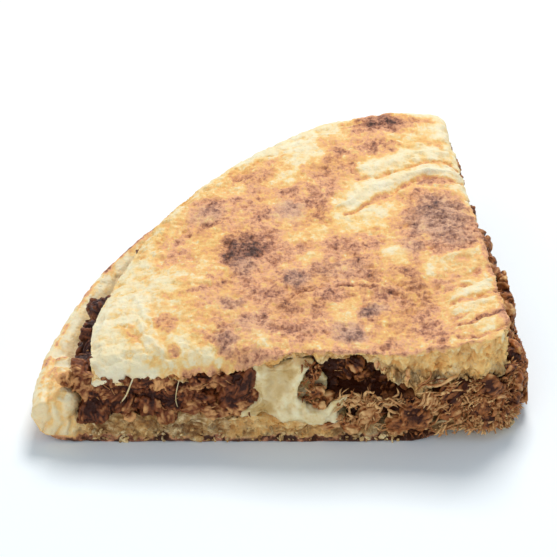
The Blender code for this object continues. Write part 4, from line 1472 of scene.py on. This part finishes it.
def bread_material():
    s = Shader("toasted_flatbread")
    names = ("toast_and_shade", "crumb", "crumb_hollow_shade", "damp", "ash", "stain")
    toast_and_shade, crumb, crumb_hollow_shade, damp, ash, stain = (s.value(name) for name in names)

    # Skin, from pale dough through gold and brown to black, pinker or more golden by patches.
    speck = s.swing(s.noise(0.85, 3.0, 0.65, (1.0, 0.8, 1.0)), s.fit(toast_and_shade, 0.10, 0.46, 0.16, 1.0))
    blotch = s.noise(2.4, 2.0, 0.55, (1.0, 0.75, 1.0))
    blotch = s.swing(blotch, s.fit(toast_and_shade, 0.05, 0.5, 0.35, 0.85))
    level = s.add(s.add(toast_and_shade, s.times(speck, 1.15)), blotch, clamp=True)
    skin = s.ramp(
        level,
        (0.00, 0.91, 0.80, 0.56), (0.09, 0.91, 0.74, 0.46), (0.19, 0.91, 0.61, 0.26),
        (0.29, 0.89, 0.49, 0.175), (0.41, 0.86, 0.44, 0.23), (0.54, 0.72, 0.345, 0.19),
        (0.68, 0.50, 0.215, 0.118), (0.83, 0.29, 0.110, 0.064), (1.00, 0.080, 0.030, 0.018),
    )
    golden = s.ramp(
        level,
        (0.05, 0.91, 0.74, 0.42), (0.17, 0.90, 0.58, 0.19), (0.32, 0.82, 0.42, 0.105),
        (0.50, 0.66, 0.285, 0.075), (0.70, 0.40, 0.15, 0.05), (1.00, 0.09, 0.03, 0.015),
    )
    hue = s.fit(s.noise(9.0, 3.0, 0.6, (1.0, 0.8, 1.0)), 0.44, 0.62, 0.04, 0.48)
    skin = s.mix(s.times(hue, s.calc("SUBTRACT", 1.0, ash)), skin, golden)
    ashen = s.ramp(level, (0.3, 0.66, 0.44, 0.33), (0.9, 0.10, 0.065, 0.062))
    skin = s.mix(s.times(ash, 0.5), skin, ashen)

    # Crumb: dry, soaked, with painted shade in its pores and hollows, and stained.
    tan, grain = s.noise(3.2, 4.0, 0.6), s.noise(0.6, 3.0, 0.7)
    inner = s.ramp(
        s.share(tan, grain, 0.6),
        (0.30, 0.78, 0.37, 0.09), (0.42, 0.97, 0.53, 0.16), (0.53, 0.97, 0.64, 0.25),
        (0.66, 0.97, 0.78, 0.46),
    )
    wet = s.ramp(
        s.share(tan, s.noise(1.1, 3.0, 0.65), 0.5),
        (0.36, 0.13, 0.048, 0.015), (0.43, 0.38, 0.185, 0.066), (0.51, 0.58, 0.36, 0.15),
        (0.58, 0.88, 0.68, 0.38),
    )
    inner = s.mix(s.times(damp, 0.95, clamp=True), inner, wet)
    inner = s.mix(s.fit(crumb_hollow_shade, 0.6, 1.6, 0.0, 0.65), inner, (0.42, 0.17, 0.045))
    soaked = s.times(stain, s.fit(grain, 0.3, 0.7, 0.5, 1.0))
    inner = s.mix(soaked, inner, (0.12, 0.042, 0.014))
    return s.finish(
        s.mix(crumb, skin, inner), s.fit(level, 0.1, 0.9, 0.72, 0.52), 0.25,
        (0.08, (1.0, 0.6, 0.3), 0.0012), (0.5, 3.0, 0.6, 0.6, 0.3), (1.5, 3.0, 0.6, 0.6, 0.7),
    )


def meat_material(name, dark, mid, light):
    s = Shader(name)
    fine, broad = s.noise(0.55, 4.0, 0.65), s.noise(3.0, 3.0, 0.6)
    # The relief shading paints light on the crests and shade in the crevices.
    level = s.add(s.value("tone"), s.swing(s.value("relief_shading"), 0.80))
    level = s.add(level, s.swing(fine, 0.30))
    level = s.add(level, s.swing(broad, 0.35), clamp=True)
    return s.finish(
        s.ramp(level, (0.06, *dark), (0.44, *mid), (1.0, *light)),
        s.fit(fine, 0.3, 0.7, 0.30, 0.52), 0.22, (0.06, (1.0, 0.35, 0.2), 0.001),
        (0.9, 4.0, 0.65, 0.75, 0.45), (0.35, 3.0, 0.6, 0.5, 0.15),
    )


def cheese_material():
    s = Shader("melted_cheese")
    broad, fine = s.noise(3.5, 3.0, 0.55), s.noise(0.9, 3.0, 0.6)
    level = s.share(broad, fine, 0.7)
    pale = s.ramp(level, (0.34, 0.60, 0.38, 0.12), (0.46, 0.80, 0.60, 0.29), (0.62, 0.90, 0.77, 0.48))
    # The stain value holds real specks and painted shade in the hollows.
    stain = s.times(s.value("stain"), s.fit(fine, 0.3, 0.7, 0.35, 0.95))
    return s.finish(
        s.mix(stain, pale, (0.50, 0.29, 0.07)), s.fit(fine, 0.3, 0.7, 0.26, 0.42), 0.5,
        (0.25, (1.0, 0.8, 0.45), 0.002), (1.1, 2.0, 0.5, 0.2, 0.3),
    )


# ---------------------------------------------------------------------------------------------
# Build

bread = bread_material()
dark_meat = meat_material(
    "dark_pulled_meat", (0.040, 0.007, 0.002), (0.23, 0.062, 0.018), (0.80, 0.40, 0.15)
)
tan_meat = meat_material(
    "tan_pulled_meat", (0.055, 0.011, 0.003), (0.42, 0.140, 0.040), (0.90, 0.54, 0.23)
)
cheese = cheese_material()

settle(make_top_bread(), "top_bread", bread, "top_bread")
settle(make_bottom_bread(), "bottom_bread", bread, "bottom_bread")
settle(make_crumbs(), "bottom_bread", bread)
settle(make_cheese(), "melted_cheese", cheese, "melted_cheese")
settle(make_cheese_strings(), "melted_cheese", cheese)
settle(make_meat_core("outer_meat", 72), "outer_meat", dark_meat, "outer_meat")
settle(make_meat_core("inner_meat", 75), "inner_meat", tan_meat, "inner_meat")
for mass_or_fibres in (*make_outer_meat(), *make_rim_meat()):
    settle(mass_or_fibres, "outer_meat", dark_meat)
for mass_or_fibres in make_inner_meat():
    settle(mass_or_fibres, "inner_meat", tan_meat)

# ---------------------------------------------------------------------------------------------
# Floor, light and camera

FLOOR_HALF = 3000.0
corners = np.array([[-1, -1, 0], [1, -1, 0], [1, 1, 0], [-1, 1, 0]]) * FLOOR_HALF
floor = new_object("floor", mesh_from("floor", corners, np.array([[0, 1, 2, 3]])))
paint = Shader("floor_paint")
paint.body["Base Color"].default_value = (0.90, 0.925, 0.94, 1.0)
paint.body["Roughness"].default_value = 0.6
floor.data.materials.append(paint.material)


def area_light(name, place, size, watts, tint):
    """A soft light that looks at the origin."""
    data = bpy.data.lights.new(name, "AREA")
    data.shape = "RECTANGLE"
    data.size, data.size_y = size
    data.energy = watts
    data.color = tint
    lamp = bpy.data.objects.new(name, data)
    bpy.context.scene.collection.objects.link(lamp)
    lamp.location = place
    lamp.rotation_euler = (-lamp.location).to_track_quat("-Z", "Y").to_euler()


area_light("key", (0.14, 0.62, 0.92), (0.45, 0.45), 9.5, (1.0, 0.975, 0.94))
area_light("front_fill", (-0.35, -0.95, 0.45), (0.9, 0.6), 2.7, (1.0, 0.96, 0.90))

world = bpy.data.worlds.new("studio")
bpy.context.scene.world = world
world.use_nodes = True
background = world.node_tree.nodes["Background"].inputs
background["Color"].default_value = (0.73, 0.875, 1.0, 1.0)
background["Strength"].default_value = 0.57

CAMERA_DISTANCE, CAMERA_LENS, SENSOR = 0.85, 227.0, 36.0
target = np.array([-0.51, -8.12, 12.0]) * MM
elevation = math.radians(35.0)
back = np.array([0.0, -math.cos(elevation), math.sin(elevation)])
camera = bpy.data.objects.new("camera", bpy.data.cameras.new("camera"))
bpy.context.scene.collection.objects.link(camera)
camera.data.lens = CAMERA_LENS
camera.data.sensor_width = SENSOR
camera.location = tuple(target + back * CAMERA_DISTANCE)
camera.rotation_euler = (math.pi / 2 - elevation, 0.0, 0.0)
bpy.context.scene.camera = camera
bpy.context.scene.view_settings.view_transform = "Standard"

bpy.context.view_layer.update()
